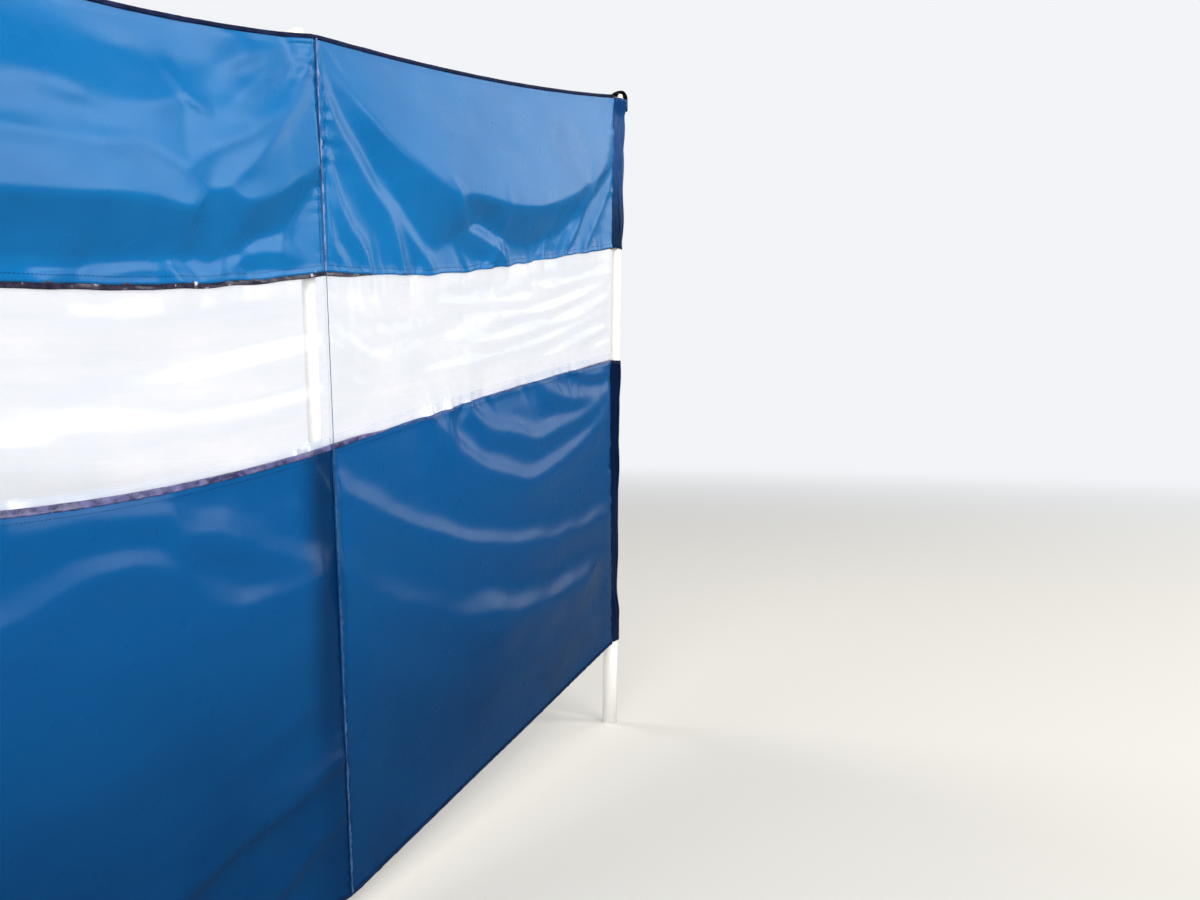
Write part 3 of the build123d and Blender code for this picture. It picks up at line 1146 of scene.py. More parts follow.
@dataclass(frozen=True)
class PaintedTube(Finish):
    """Powder-painted steel or moulded plastic: an even coat with a faint orange peel and scuffs."""

    shade: str = "#FBF9F5"
    scuff: str = "#E0D8CA"
    roughness: float = 0.30
    peel: float = 3.0 * MM
    mark: float = 100 / 9 * MM
    mark_stretch: float = 0.22

    def paint(self, tree: NodeTree, shader: Node) -> None:
        """Feed the shader with the coat, its scuffs drawn out up the tube, and its peel.

        Args:
            tree: The material's tree.
            shader: Its Principled shader.
        """
        place = add_node(tree, "ShaderNodeTexCoord")
        drawn = add_node(tree, "ShaderNodeMapping", {
            "Vector": (place, "Object"), "Scale": (1.0, 1.0, self.mark_stretch)})
        marks = add_node(tree, "ShaderNodeTexNoise", {
            "Vector": drawn, "Scale": 1 / self.mark, "Detail": 7.0, "Roughness": 0.7})
        tone = add_node(tree, "ShaderNodeValToRGB", {"Fac": marks}, ((0.60, self.shade), (0.78, self.scuff)))
        peel = add_node(tree, "ShaderNodeTexNoise", {
            "Vector": (place, "Object"), "Scale": 1 / self.peel, "Detail": 2.0})
        bump = add_node(tree, "ShaderNodeBump", {"Height": peel, "Strength": 0.15, "Distance": 0.4 * MM})
        dull = add_node(tree, "ShaderNodeMapRange", {
            "Value": marks, "To Min": self.roughness - 0.05, "To Max": self.roughness + 0.25})
        feed(tree, shader, {"Base Color": tone, "Roughness": dull, "Normal": bump})


class Finishes:
    """Every finish of the windbreak.

    Double_shade_shift is how far past the sleeve's edge the painted shade of the two-layer cloth begins.
    """

    double_shade_shift: float = 16 * MM

    def __init__(self, double_shade_from: float) -> None:
        """Choose the colours, the painted light and shade, and the wear of each finish.

        Args:
            double_shade_from: Distance along an inner bay from which its cloth lies two layers thick, where
                painted shade darkens it.
        """
        # Painted light and shade: the sunlit band and the lower band are one cloth, the upper painted lighter
        # as light and the lower painted darker as shade, the lower band painted lighter towards its top.
        self.upper_cloth = CoatedPolyester(
            "coated polyester, sunlit band", "blue_cloth", shade="#0465A4", deep="#035D9A", gloss=0.25)
        self.lower_cloth = CoatedPolyester(
            "coated polyester, lower band", "blue_cloth", shade="#01325E", deep="#012C55", double_shade="#012A52",
            painted_height_tone="#034C86", ramp_from=0.05, ramp_to=0.66, gloss=0.15,
            double_shade_from=double_shade_from + self.double_shade_shift)
        # Painted light and shade: both end sleeve lengths are one navy cloth, painted darker below the window
        # as shade and lighter above it as light; the upper length is painted darker towards its lower end as
        # shade.
        self.sleeve_cloth = CoatedPolyester(
            "coated polyester, navy sleeve", "sleeve_cloth", shade="#06183A", deep="#04102C", gloss=0.06)
        self.upper_sleeve_cloth = CoatedPolyester(
            "coated polyester, upper end sleeve", "sleeve_cloth", shade="#0E3C72", deep="#082A56",
            painted_height_tone="#051E3E", ramp_from=1.06, ramp_to=0.90, gloss=0.12)
        self.back_cloth = CoatedPolyester(
            "coated polyester, back sleeve", "blue_cloth", shade="#044A88", deep="#033F76")
        self.film = ClearFilm("calendered PVC film", "clear_film")
        self.tape = WovenTape("woven binding tape", "dark_tape")
        # The film-faced tape's last colour paints white glints on it.
        self.film_tape = WovenTape(
            "calendered tape over the upper lap", "dark_tape", "#08122C", "#33283E", 0.22, 0.6, "#D9D6E6")
        self.lilac_tape = WovenTape(
            "calendered tape over the lower lap", "dark_tape", "#26284E", "#6A6A9C", 0.22, 0.5)
        self.hem = WovenTape("woven hem tape", "dark_tape", "#081A3A", "#102A54")
        self.webbing = WovenTape("polypropylene webbing", "black_webbing", "#07080A", "#1B1D21")
        # Painted light and shade: one piping, painted pale above the window's top as light and dull below it
        # as shade.
        self.piping = WovenTape("woven piping", "dark_tape", "#3A5488", "#93A2CC", rib=1.0 * MM)
        self.low_piping = WovenTape("woven piping, lower", "dark_tape", "#16335E", "#3F618C", rib=1.0 * MM)
        self.thread = WovenTape("polyester thread", "dark_tape", "#0A2450", "#1C3C70")
        self.tube = PaintedTube("powder-painted steel tube", "white_enamel")
        self.ground_tube = PaintedTube("moulded PVC tube", "white_plastic", "#FCFAF8", roughness=0.42)
        self.cap = PaintedTube("moulded nylon cap", "cap_plastic", "#FBF6E8", roughness=0.24)


def dress(piece: Object, finish: Finish, *nodes: str) -> None:
    """Give a piece its finish and its place in the frame.

    Args:
        piece: The finished piece.
        finish: Its finish.
        nodes: Frame nodes that the piece stands for.
    """
    piece.data.materials.clear()
    piece.data.materials.append(finish.material())
    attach(piece, "root")
    if nodes:
        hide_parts(*nodes)
    LOG.info("%s: %d corners", piece.name, len(piece.data.vertices))


@dataclass(frozen=True)
class Cut:
    """How a band is cut: its limits up the cloth, the gap of its corners, and its finish."""

    low: float
    high: float
    step: float
    thickness: float
    finish: Finish
    node: str


@dataclass
class ClothBay:
    """The three sewn bands of one bay."""

    bay: Bay
    finishes: Finishes
    thickness: float = 0.0006
    film_thickness: float = 0.0004
    lap: float = 0.012
    tuck: float = 0.0012
    hem: float = 0.0090
    hem_lean: float = 0.0020
    double_rise: float = 0.0006
    double_width: float = 0.0105
    double_edge: float = 0.003
    step: float = 0.0062
    lower_step: float = 0.0066
    film_step: float = 0.0064
    upper_step: float = 0.0056
    fine: float = 0.0030
    border: float = 0.018

    def cut(self, band: Band) -> Cut:
        """Say how a band is cut.

        Args:
            band: Which band.

        Returns:
            Its cut.
        """
        row, finishes = self.bay.row, self.finishes
        low, high = row.level(Edge.WINDOW_BOTTOM), row.level(Edge.WINDOW_TOP)
        if band is Band.LOWER:
            return Cut(0.0, low, self.lower_step, self.thickness, finishes.lower_cloth, "lower_panel")
        if band is Band.UPPER:
            return Cut(high, row.height, self.upper_step, self.thickness, finishes.upper_cloth, "upper_panel")
        low, high = low - self.lap, high + self.lap
        return Cut(low, high, self.film_step, self.film_thickness, finishes.film, "window")

    def proud(self, band: Band, share: Array, height: Array) -> Array:
        """Work out what a band adds to the folded cloth: the film's creases or its own hems.

        Args:
            band: Which band.
            share: Places along the bay, 0 to 1.
            height: Heights up the cloth.

        Returns:
            How far it stands in front of the cloth's middle.
        """
        if band is Band.WINDOW:
            return self.bay.film_rise(share, height) - self.tuck
        cut = self.cut(band)
        near = np.minimum(height - cut.low, cut.high - height)
        proud = self.double_rise * (1 - smoothstep((near - self.double_width) / self.double_edge))
        if band is Band.UPPER:
            proud = proud + self.hem_lean * np.clip(1 - (height - cut.low) / self.hem, 0, 1)
        return proud

    def build(self) -> None:
        """Make and dress the bands."""
        span, number = self.bay.span, self.bay.number + 1
        shares = spaced(0.0, 1.0, self.step / span, self.fine / span, self.border / span)
        for band in Band:
            cut = self.cut(band)
            heights = spaced(cut.low, cut.high, cut.step, self.fine, self.border)
            share, height = np.meshgrid(shares, heights)
            points = self.bay.point(share, height, self.proud(band, share, height))
            flat = np.stack([share * span, height], -1)
            piece = sheet_object(f"{band.value}_{number}", points, flat, cut.thickness)
            dress(piece, cut.finish, f"{cut.node}_{number}")

    def declare(self) -> None:
        """Work out each band's cut size and the names of what is sewn to it; nothing is kept."""
        number = self.bay.number + 1
        sewn: dict[Band, list[str]] = {Band.WINDOW: []}
        for band, edge, pocket in (
            (Band.LOWER, Edge.WINDOW_BOTTOM, "lower_pocket"),
            (Band.UPPER, Edge.WINDOW_TOP, "upper_pocket"),
        ):
            sewn[band] = [f"{edge.value}_tape_{number}", f"{edge.value}_back_tape_{number}"]
            if not self.bay.is_last:
                sewn[band].append(f"{pocket}_{number + 1}")
        for band in Band:
            cut = self.cut(band)
            flat = (round(cut.high - cut.low, 3), round(self.bay.span, 3))


@dataclass
class EdgeTapes:
    """Tape folded over the cloth's top edge and over its hem, along the whole row."""

    bays: list[Bay]
    finishes: Finishes
    leg: float = 0.0054
    crown: float = 0.0010
    proud: float = 0.0014
    thickness: float = 0.0006
    steps: int = 200

    def section(self, level: float, inward: int) -> tuple[Array, Array]:
        """Draw a folded tape's open section, from its front leg over the edge to its back leg.

        Args:
            level: Height of the edge.
            inward: 1 where the cloth lies above the edge and -1 where it lies below.

        Returns:
            The section's heights, and how far in front of the cloth's middle they lie.
        """
        side = np.array([self.leg, self.leg / 2, 0.0, -0.7 * self.crown])
        heights = level + inward * np.concatenate([side, [-self.crown], side[::-1]])
        return heights, self.proud * np.array([1.0, 1.1, 1.0, 0.7, 0.0, -0.7, -1.0, -1.1, -1.0])

    def sweep(self, name: str, section: tuple[Array, Array], crumple: float, seed: int) -> Object:
        """Sweep a section along the bays, where it follows every fold.

        Args:
            name: The piece's name.
            section: Heights and distances of the section's points.
            crumple: Height of the tape's own crumples.
            seed: Seed of the crumples.

        Returns:
            The tape.
        """
        columns, flats, run = [], [], 0.0
        wave = Ripple(crumple, 0.012, 0.05, seed, 1.0, 8)
        for bay in self.bays:
            shares = np.linspace(0.0, 1.0, self.steps + 1)[: None if bay.is_last else -1]
            height, share = np.meshgrid(section[0], shares)
            proud = np.broadcast_to(section[1], share.shape)
            along = run + share * bay.span
            raised = np.maximum(wave.at(along, height) + crumple, 0.0) * np.sign(proud + 1e-9)
            columns.append(bay.point(share, height, proud + raised))
            flats.append(np.stack([along, height], -1))
            run += bay.span
        return sheet_object(name, np.concatenate(columns), np.concatenate(flats), self.thickness, flip=True)

    def build(self) -> None:
        """Make and dress both tapes."""
        heights, proud = self.section(self.bays[0].row.height, -1)
        dress(self.sweep("top_tape", (heights, proud), 0.0004, 11), self.finishes.tape, "top_binding")
        heights, proud = self.section(0.0, 1)
        hem = self.sweep("hem_tape", (heights[::-1], proud[::-1]), 0.0003, 12)
        dress(hem, self.finishes.hem, "bottom_binding")


@dataclass
class LapTapes:
    """Shiny tape over the laps where film and cloth are sewn together."""

    bay: Bay
    finishes: Finishes
    width: float = 0.0088
    thickness: float = 0.0005
    overlap: float = 0.002
    front: float = 0.0012
    back: float = -0.0026
    hidden: float = 0.84
    steps: int = 240

    def strip(self, name: str, edge: Edge, proud: float) -> Object:
        """Make one tape.

        Args:
            name: The piece's name.
            edge: Line that the tape covers.
            proud: How far it stands in front of the cloth's middle.

        Returns:
            The tape.
        """
        away = -1.0 if edge is Edge.WINDOW_TOP else 1.0
        across = np.linspace(0.0, 1.0, 7 if proud > 0 else 4)
        share, part = np.meshgrid(np.linspace(0.0, 1.0, self.steps + 1), across)
        reach = self.width * (1 - self.hidden * follow(self.bay.cover, share)[0])
        height = self.bay.row.level(edge) - away * self.overlap + away * part * reach
        wave = Ripple(0.0007, 0.008, 0.035, self.bay.seed + 90, 1.4, 10)
        lift = proud + np.sign(proud) * np.abs(wave.at(share * self.bay.span, height))
        flat = np.stack([share * self.bay.span, part * self.width], -1)
        return sheet_object(name, self.bay.point(share, height, lift), flat, self.thickness, flip=away < 0)

    def build(self) -> None:
        """Make and dress the tapes at the front and back of both laps."""
        number = self.bay.number + 1
        shiny = {Edge.WINDOW_TOP: self.finishes.film_tape, Edge.WINDOW_BOTTOM: self.finishes.lilac_tape}
        for edge, finish in shiny.items():
            dress(self.strip(f"{edge.value}_tape_{number}", edge, self.front), finish)
            dress(self.strip(f"{edge.value}_back_tape_{number}", edge, self.back), finish)


@dataclass
class SeamPiping:
    """Narrow puckered piping sewn into the seam beside an inner post."""

    bay: Bay
    finishes: Finishes
    radius: float = 0.0023
    flatness: float = 0.42
    film_radius: float = 0.0006
    gap: float = 0.019
    inset: float = 0.0016
    proud: float = 0.0022
    short: float = 0.004
    sway: float = 0.0014
    sides: int = 8
    steps: int = 420

    def build(self) -> None:
        """Make and dress the piping, one tape in two lengths: up to the window's top a dull one painted darker
        as shade, and above it a pale one painted lighter as light.
        """
        number, change = self.bay.number + 1, self.bay.row.level(Edge.WINDOW_TOP)
        lower = self.length(f"seam_piping_lower_{number}", self.short, change)
        dress(lower, self.finishes.low_piping)
        upper = self.length(f"seam_piping_upper_{number}", change, self.bay.row.height - self.short)
        dress(upper, self.finishes.piping)

    def length(self, name: str, low: float, high: float) -> Object:
        """Make one length of the piping.

        Args:
            name: The piece's name.
            low: Height of its lower end up the cloth.
            high: Height of its upper end.

        Returns:
            The length.
        """
        row, seed = self.bay.row, self.bay.seed
        heights = np.linspace(low, high, round(self.steps * (high - low) / row.height))
        level = 0 * heights
        drift = Ripple(0.006, 0.03, 0.12, seed + 32, 1.0, 6).at(level, heights)
        drawn = np.abs(np.sin(math.pi * (heights + drift) / self.gap)) ** 0.5
        pinch = drawn * (0.9 + 0.25 * Ripple(1.0, 0.02, 0.08, seed + 31, 1.0, 7).at(level, heights))
        in_window = (heights > row.level(Edge.WINDOW_BOTTOM)) & (heights < row.level(Edge.WINDOW_TOP))
        radius = np.where(in_window, self.film_radius, self.radius * np.clip(pinch, 0.45, 1.4))
        smooth, facing = self.bay.hanging(level + self.inset / self.bay.span, heights)
        post = row.posts[self.bay.number]
        aside = self.sway * (pinch - 0.6)[:, None] * ~in_window[:, None]
        centre = smooth + facing * self.proud + aside * post.along
        turns = 2 * math.pi * np.arange(self.sides)[:, None] / self.sides
        out = np.cos(turns) * post.along - np.sin(turns) * self.flatness * post.back
        return tube_object(name, centre[:, None] + radius[:, None, None] * out)


@dataclass
class Post:
    """A painted tube in its ground tube, with its cap."""

    row: Row
    number: int
    finishes: Finishes
    wall: float = 0.0012
    rim: float = 0.003
    socket: float = 0.085
    socket_room: float = 0.0003
    floor_gap: float = 0.0002
    collar_radius: float = 0.011
    knob_radius: float = 0.008
    plug: float = 0.016
    plug_room: float = 0.00015
    lug_length: float = 0.018
    lug_width: float = 0.008
    lug_thickness: float = 0.003
    tube_round: float = 0.0005
    cap_round: float = 0.0028
    tiny: float = 0.00002

    @property
    def axes(self) -> PostAxes:
        """The post's own axes."""
        return self.row.posts[self.number]

    @property
    def mouth(self) -> float:
        """Height of the ground tube's upper end up the post."""
        return self.row.lift(self.number) + self.row.tube_overlap

    @property
    def top(self) -> float:
        """Height of the tube's upper end up the post."""
        return self.row.lift(self.number) + self.row.height - self.row.collar_height

    def build(self) -> None:
        """Make and dress all three pieces."""
        number = self.number + 1
        dress(self.ground_tube(f"ground_socket_{number}"), self.finishes.ground_tube, f"ground_tube_{number}")
        dress(self.tube(f"post_tube_{number}"), self.finishes.tube, f"post_{number}")
        dress(self.cap(f"post_knob_{number}"), self.finishes.cap, f"post_cap_{number}")

    def tube(self, name: str) -> Object:
        """Make the thin tube, open at both ends.

        Args:
            name: The piece's name.

        Returns:
            The tube.
        """
        low, top = self.mouth - self.socket + self.floor_gap, self.top
        outer, inner = self.row.post_radius, self.row.post_radius - self.wall
        outline = [(inner, low), (outer, low), (outer, top), (inner, top), (inner, low)]
        return turned_piece(name, self.axes, rounded(outline, self.tube_round, 3))

    def ground_tube(self, name: str) -> Object:
        """Make the thick tube that stands in the ground, from ground level up.

        Args:
            name: The piece's name.

        Returns:
            The tube.
        """
        outer, bore = self.row.tube_radius, self.row.post_radius + self.socket_room
        floor = self.mouth - self.socket
        outline = [(outer, 0.0), (outer, self.mouth), (bore, self.mouth), (bore, floor)]
        profile = [(self.tiny, 0.0), *rounded(outline, self.rim, 6), (self.tiny, floor)]
        return turned_piece(name, self.axes, profile, 64, level=True)

    def cap(self, name: str) -> Object:
        """Make the cap: plug, collar, rounded knob and, on an inner post, a side lug.

        Args:
            name: The piece's name.

        Returns:
            The cap.
        """
        top, plug = self.top, self.row.post_radius - self.wall - self.plug_room
        collar = top + self.row.collar_height
        knob = collar + self.row.knob_height
        outline = [
            (self.tiny, top - self.plug), (plug, top - self.plug), (plug, top), (self.collar_radius, top),
            (self.collar_radius, collar), (self.knob_radius, collar), (self.knob_radius, knob),
            (self.tiny, knob)]
        piece = turned_piece(name, self.axes, rounded(outline, self.cap_round, 5))
        if not self.row.is_end(self.number):
            self.add_lug(piece, collar)
        return piece

    def add_lug(self, piece: Object, base: float) -> None:
        """Join a rounded side lug to a cap.

        Args:
            piece: The cap.
            base: Height of the lug's underside.
        """
        half = self.lug_width / 2
        turns = -math.pi / 2 - math.pi * np.arange(13) / 12
        x = np.concatenate([[0.0, 0.0], half * np.cos(turns) - (self.lug_length - half)])
        y = np.concatenate([[half, -half], half * np.sin(turns)])
        rings = []
        for height, width in ((0.0, 0.82), (0.08, 0.97), (0.25, 1.0), (0.75, 1.0), (0.92, 0.97), (1.0, 0.82)):
            drawn_in = np.where(x < 0, x * (0.94 + 0.06 * width), x)
            rings.append(self.axes.place(drawn_in, y * width, base + height * self.lug_thickness))
        lug = tube_object("lug", np.stack(rings))
        work = bmesh.new()
        work.from_mesh(piece.data)
        work.from_mesh(lug.data)
        work.to_mesh(piece.data)
        work.free()
        piece.data.shade_smooth()
        bpy.data.objects.remove(lug)


def wrap_section(radius: float, left: Array, right: Array, count: int) -> Array:
    """Run cloth from one place round the back of a post to another.

    Args:
        radius: Radius of the cloth round the post.
        left: Where the cloth starts, in the post's own axes.
        right: Where it ends.
        count: Points of the section.

    Returns:
        The section, as points by 2.
    """
    ends = []
    for place, side in ((right, 1.0), (left, -1.0)):
        touch = side * math.acos(min(radius / math.hypot(*place), 1.0))
        ends.append(math.atan2(place[1], place[0]) + touch)
    sweep = (ends[1] - ends[0]) % (2 * math.pi)
    turns = ends[0] + sweep * np.linspace(0, 1, 24)
    arc = np.stack([radius * np.cos(turns), radius * np.sin(turns)], -1)
    path = np.concatenate([[right], arc, [left]])
    length = np.concatenate([[0], np.cumsum(np.linalg.norm(np.diff(path, axis=0), axis=1))])
    places = np.linspace(0, length[-1], count)
    return np.stack([np.interp(places, length, path[:, axis]) for axis in (0, 1)], -1)


@dataclass(frozen=True)
class Length:
    """One length of a sleeve: its names, its limits, the gap of its corners, and its finish."""

    name: str
    node: str
    low: float
    high: float
    step: float
    finish: Finish


@dataclass
class Sleeve:
    """What all cloth round a post shares; each kind has its own lengths and points."""

    bay: Bay
    finishes: Finishes
    slack: float = 0.0022
    room: float = 0.0012
    flare: float = 0.060
    thickness: float = 0.0006
    count: int = 29
    hold: float = 0.16
    girth: float = 0.10
    cut_width: float = 0.12

    @property
    def post(self) -> int:
        """The post's number, from 0."""
        raise NotImplementedError

    def lengths(self) -> list[Length]:
        """The sleeve's lengths, from the ground up."""
        raise NotImplementedError

    def points(self, around: Array, tall: Array) -> Array:
        """The corners, by the share of the way round and the height of each."""
        raise NotImplementedError

    def radius(self, heights: Array) -> Array:
        """Radius of the sleeve at each height."""
        narrow = self.bay.row.post_radius + self.slack
        return self.bay.row.sleeve_radius(heights, narrow, self.room, self.flare)

    def free(self, around: Array) -> Array:
        """How free the cloth is to crease: 0 at its seams and 1 away from them."""
        return smoothstep(around / self.hold) * smoothstep((1 - around) / self.hold)

    def build(self) -> None:
        """Make and dress every length of the sleeve."""
        for length in self.lengths():
            heights = np.linspace(length.low, length.high, round((length.high - length.low) / length.step))
            around, tall = np.meshgrid(np.linspace(0, 1, self.count), heights)
            flat = np.stack([around * self.cut_width, tall], -1)
            name = f"{length.name}_{self.post + 1}"
            piece = sheet_object(name, self.points(around, tall), flat, self.thickness)
            dress(piece, length.finish, f"{length.node}_{self.post + 1}")


@dataclass
class InnerSleeve(Sleeve):
    """Pocket of cloth sewn to the back of a bay, which holds an inner post."""

    step: float = 0.0075
    behind: float = 0.0010
    beside: float = 0.001
    join: float = 0.12
    short: float = 0.010

    @property
    def post(self) -> int:
        """The post's number, from 0."""
        return self.bay.number + 1

    def lengths(self) -> list[Length]:
        """The pocket's lengths below and above the window."""
        row, cloth = self.bay.row, self.finishes.back_cloth
        low, high = row.level(Edge.WINDOW_BOTTOM), row.level(Edge.WINDOW_TOP)
        return [Length("lower_pocket", "lower_sleeve", self.short, low, self.step, cloth),
                Length("upper_pocket", "upper_sleeve", high, row.height - self.short, self.step, cloth)]

    def points(self, around: Array, tall: Array) -> Array:
        """Wrap the pocket round its post and draw both its sides to the cloth.

        Args:
            around: Share of the way round the post, from the right side of the pocket.
            tall: Heights up the cloth.

        Returns:
            The corners.
        """
        bay, row, heights = self.bay, self.bay.row, tall[:, 0]
        back = self.behind - row.cloth_front
        left = (row.seam_offset - row.sleeve_width, back)
        right = (row.seam_offset - self.beside, back)
        section = np.stack([wrap_section(radius, left, right, self.count) for radius in self.radius(heights)])
        crease = Ripple(0.0011, 0.018, 0.060, bay.seed + 50, 1.6, 12).at(around * self.girth, tall)
        out = section * (1 + (np.abs(crease) * self.free(around) / 0.012)[..., None])
        points = row.posts[self.post].place(out[..., 0], out[..., 1], row.lift(self.post) + tall)
        sides = ((bay.free_share, -1, 1 - around), (1.0 - self.beside / bay.span, 0, around))
        for share, column, away in sides:
            sewn = bay.point(np.full(heights.shape, share), heights, -self.behind)
            drawn = (1 - smoothstep(away / self.join))[..., None]
            points = points + drawn * (sewn - points[:, column])[:, None, :]
        return points


@dataclass
class EndSleeve(Sleeve):
    """Navy sleeve round an end post, drawn in to the seam at the end of a bay.

    Fields: bunch is the height of the folds at its top, which stand out by swell over
    bunch_depth, waist the depth of the groove waist_drop below the top and waist_width its
    width, tip_gap half the distance between its two sides at the seam.
    """

    slack: float = 0.0016
    thickness: float = 0.0007
    count: int = 42
    hold: float = 0.12
    cut_width: float = 0.10
    step: float = 0.0050
    long_step: float = 0.0076
    bunch: float = 0.0020
    bunch_depth: float = 0.036
    swell: float = 0.0046
    waist: float = 0.0006
    waist_drop: float = 0.045
    waist_width: float = 0.012
    tip_gap: float = 0.0008

    @property
    def post(self) -> int:
        """The post's number, from 0."""
        return self.bay.row.bays if self.bay.is_last else 0

    def lengths(self) -> list[Length]:
        """The sleeve's lengths below and above the window."""
        row, finishes = self.bay.row, self.finishes
        low, high = row.level(Edge.WINDOW_BOTTOM), row.level(Edge.WINDOW_TOP)
        top = row.height - row.collar_height
        return [Length("lower_end_sleeve", "lower_sleeve", 0.0, low, self.long_step, finishes.sleeve_cloth),
                Length("upper_end_sleeve", "upper_sleeve", high, top, self.step, finishes.upper_sleeve_cloth)]

    def points(self, around: Array, tall: Array) -> Array:
        """Wrap the sleeve round its post from the seam back to the seam.

        Args:
            around: Share of the way round the post.
            tall: Heights up the cloth.

        Returns:
            The corners.
        """
        row, axes, heights = self.bay.row, self.bay.row.posts[self.post], tall[:, 0]
        seam = self.bay.point(np.full(heights.shape, 1.0 if self.bay.is_last else 0.0), heights) - axes.foot
        tips = np.stack([seam @ axes.along, seam @ axes.back], -1)
        apart = np.array([0.0, self.tip_gap])
        section = np.stack([wrap_section(radius, tip - apart, tip + apart, self.count)
                            for tip, radius in zip(tips, self.radius(heights))])
        run = around * self.girth
        crease = Ripple(0.0013, 0.010, 0.034, self.bay.seed + 52, 0.8, 12).at(run, tall * 0.12)
        folds = Ripple(self.bunch, 0.009, 0.020, self.bay.seed + 53, 0.3, 6).at(run, tall)
        top = np.clip((tall - (row.height - self.bunch_depth)) / (0.7 * self.bunch_depth), 0, 1)
        waist = self.waist * np.exp(-(((tall - row.height + self.waist_drop) / self.waist_width) ** 2))
        out = np.abs(crease) + top * (self.swell + np.abs(folds)) - waist
        swollen = section + unit(section) * (out * self.free(around))[..., None]
        return axes.place(swollen[..., 0], swollen[..., 1], row.lift(self.post) + tall)


@dataclass
class EndLoop:
    """Webbing strap arched over the top of an end post."""

    row: Row
    post: int
    finishes: Finishes
    width: float = 0.022
    thickness: float = 0.0016
    rise: float = 0.005
    drop: float = 0.026
    sleeve: float = 0.0125
    room: float = 0.0012
    spread: float = 0.0006
    tail_lift: float = 0.0018
    bow: float = 0.0012
    twist: float = 28.0

    def build(self) -> None:
        """Make and dress the strap: free end, arch over the knob, and tail down to the top tape."""
        side = 1 if self.post == 0 else -1
        axes = self.row.posts[self.post]
        radius = self.sleeve + self.thickness / 2 + self.room
        top = self.row.lift(self.post) + self.row.height
        shoulder = top + self.row.knob_height + self.rise - radius
        turns = np.linspace(0, math.pi, 17)
        free = np.array([(-side * (radius + self.spread), top - self.drop + up) for up in (0.0, 0.008, 0.016)])
        arch = np.stack([-side * radius * np.cos(turns), shoulder + radius * np.sin(turns)], -1)
        end = np.array([side * self.row.end_reach, top + self.tail_lift])
        tail = arch[-1] + (end - arch[-1]) * np.array([[0.3], [0.65], [1.0]])
        path = np.concatenate([free, arch, tail])
        tangent = unit(np.gradient(path, axis=0))
        normal = np.stack([-tangent[:, 1], tangent[:, 0]], -1) * side
        across = np.linspace(-1, 1, 13)
        edge = np.sign(across) * np.abs(across) ** 0.9 * self.width / 2
        placed = path[:, None, :] + normal[:, None, :] * (self.bow * (1 - across**2))[None, :, None]
        run = np.concatenate([[0], np.cumsum(np.linalg.norm(np.diff(path, axis=0), axis=1))])
        arch_run = run[len(free) + len(arch) - 1]
        straight = smoothstep((run - arch_run) / (run[-1] - arch_run))
        turn = side * np.radians(self.twist) * (1 - straight)[:, None]
        cos, sin = np.cos(turn), np.sin(turn)
        x, y = placed[..., 0], np.broadcast_to(edge, placed.shape[:2])
        points = axes.place(x * cos - y * sin, x * sin + y * cos, placed[..., 1])
        flat = np.stack(np.meshgrid(run, edge, indexing="ij"), -1)
        name = "left" if self.post == 0 else "right"
        piece = sheet_object(f"webbing_loop_{name}", points, flat, self.thickness)
        dress(piece, self.finishes.webbing, f"end_loop_{name}")


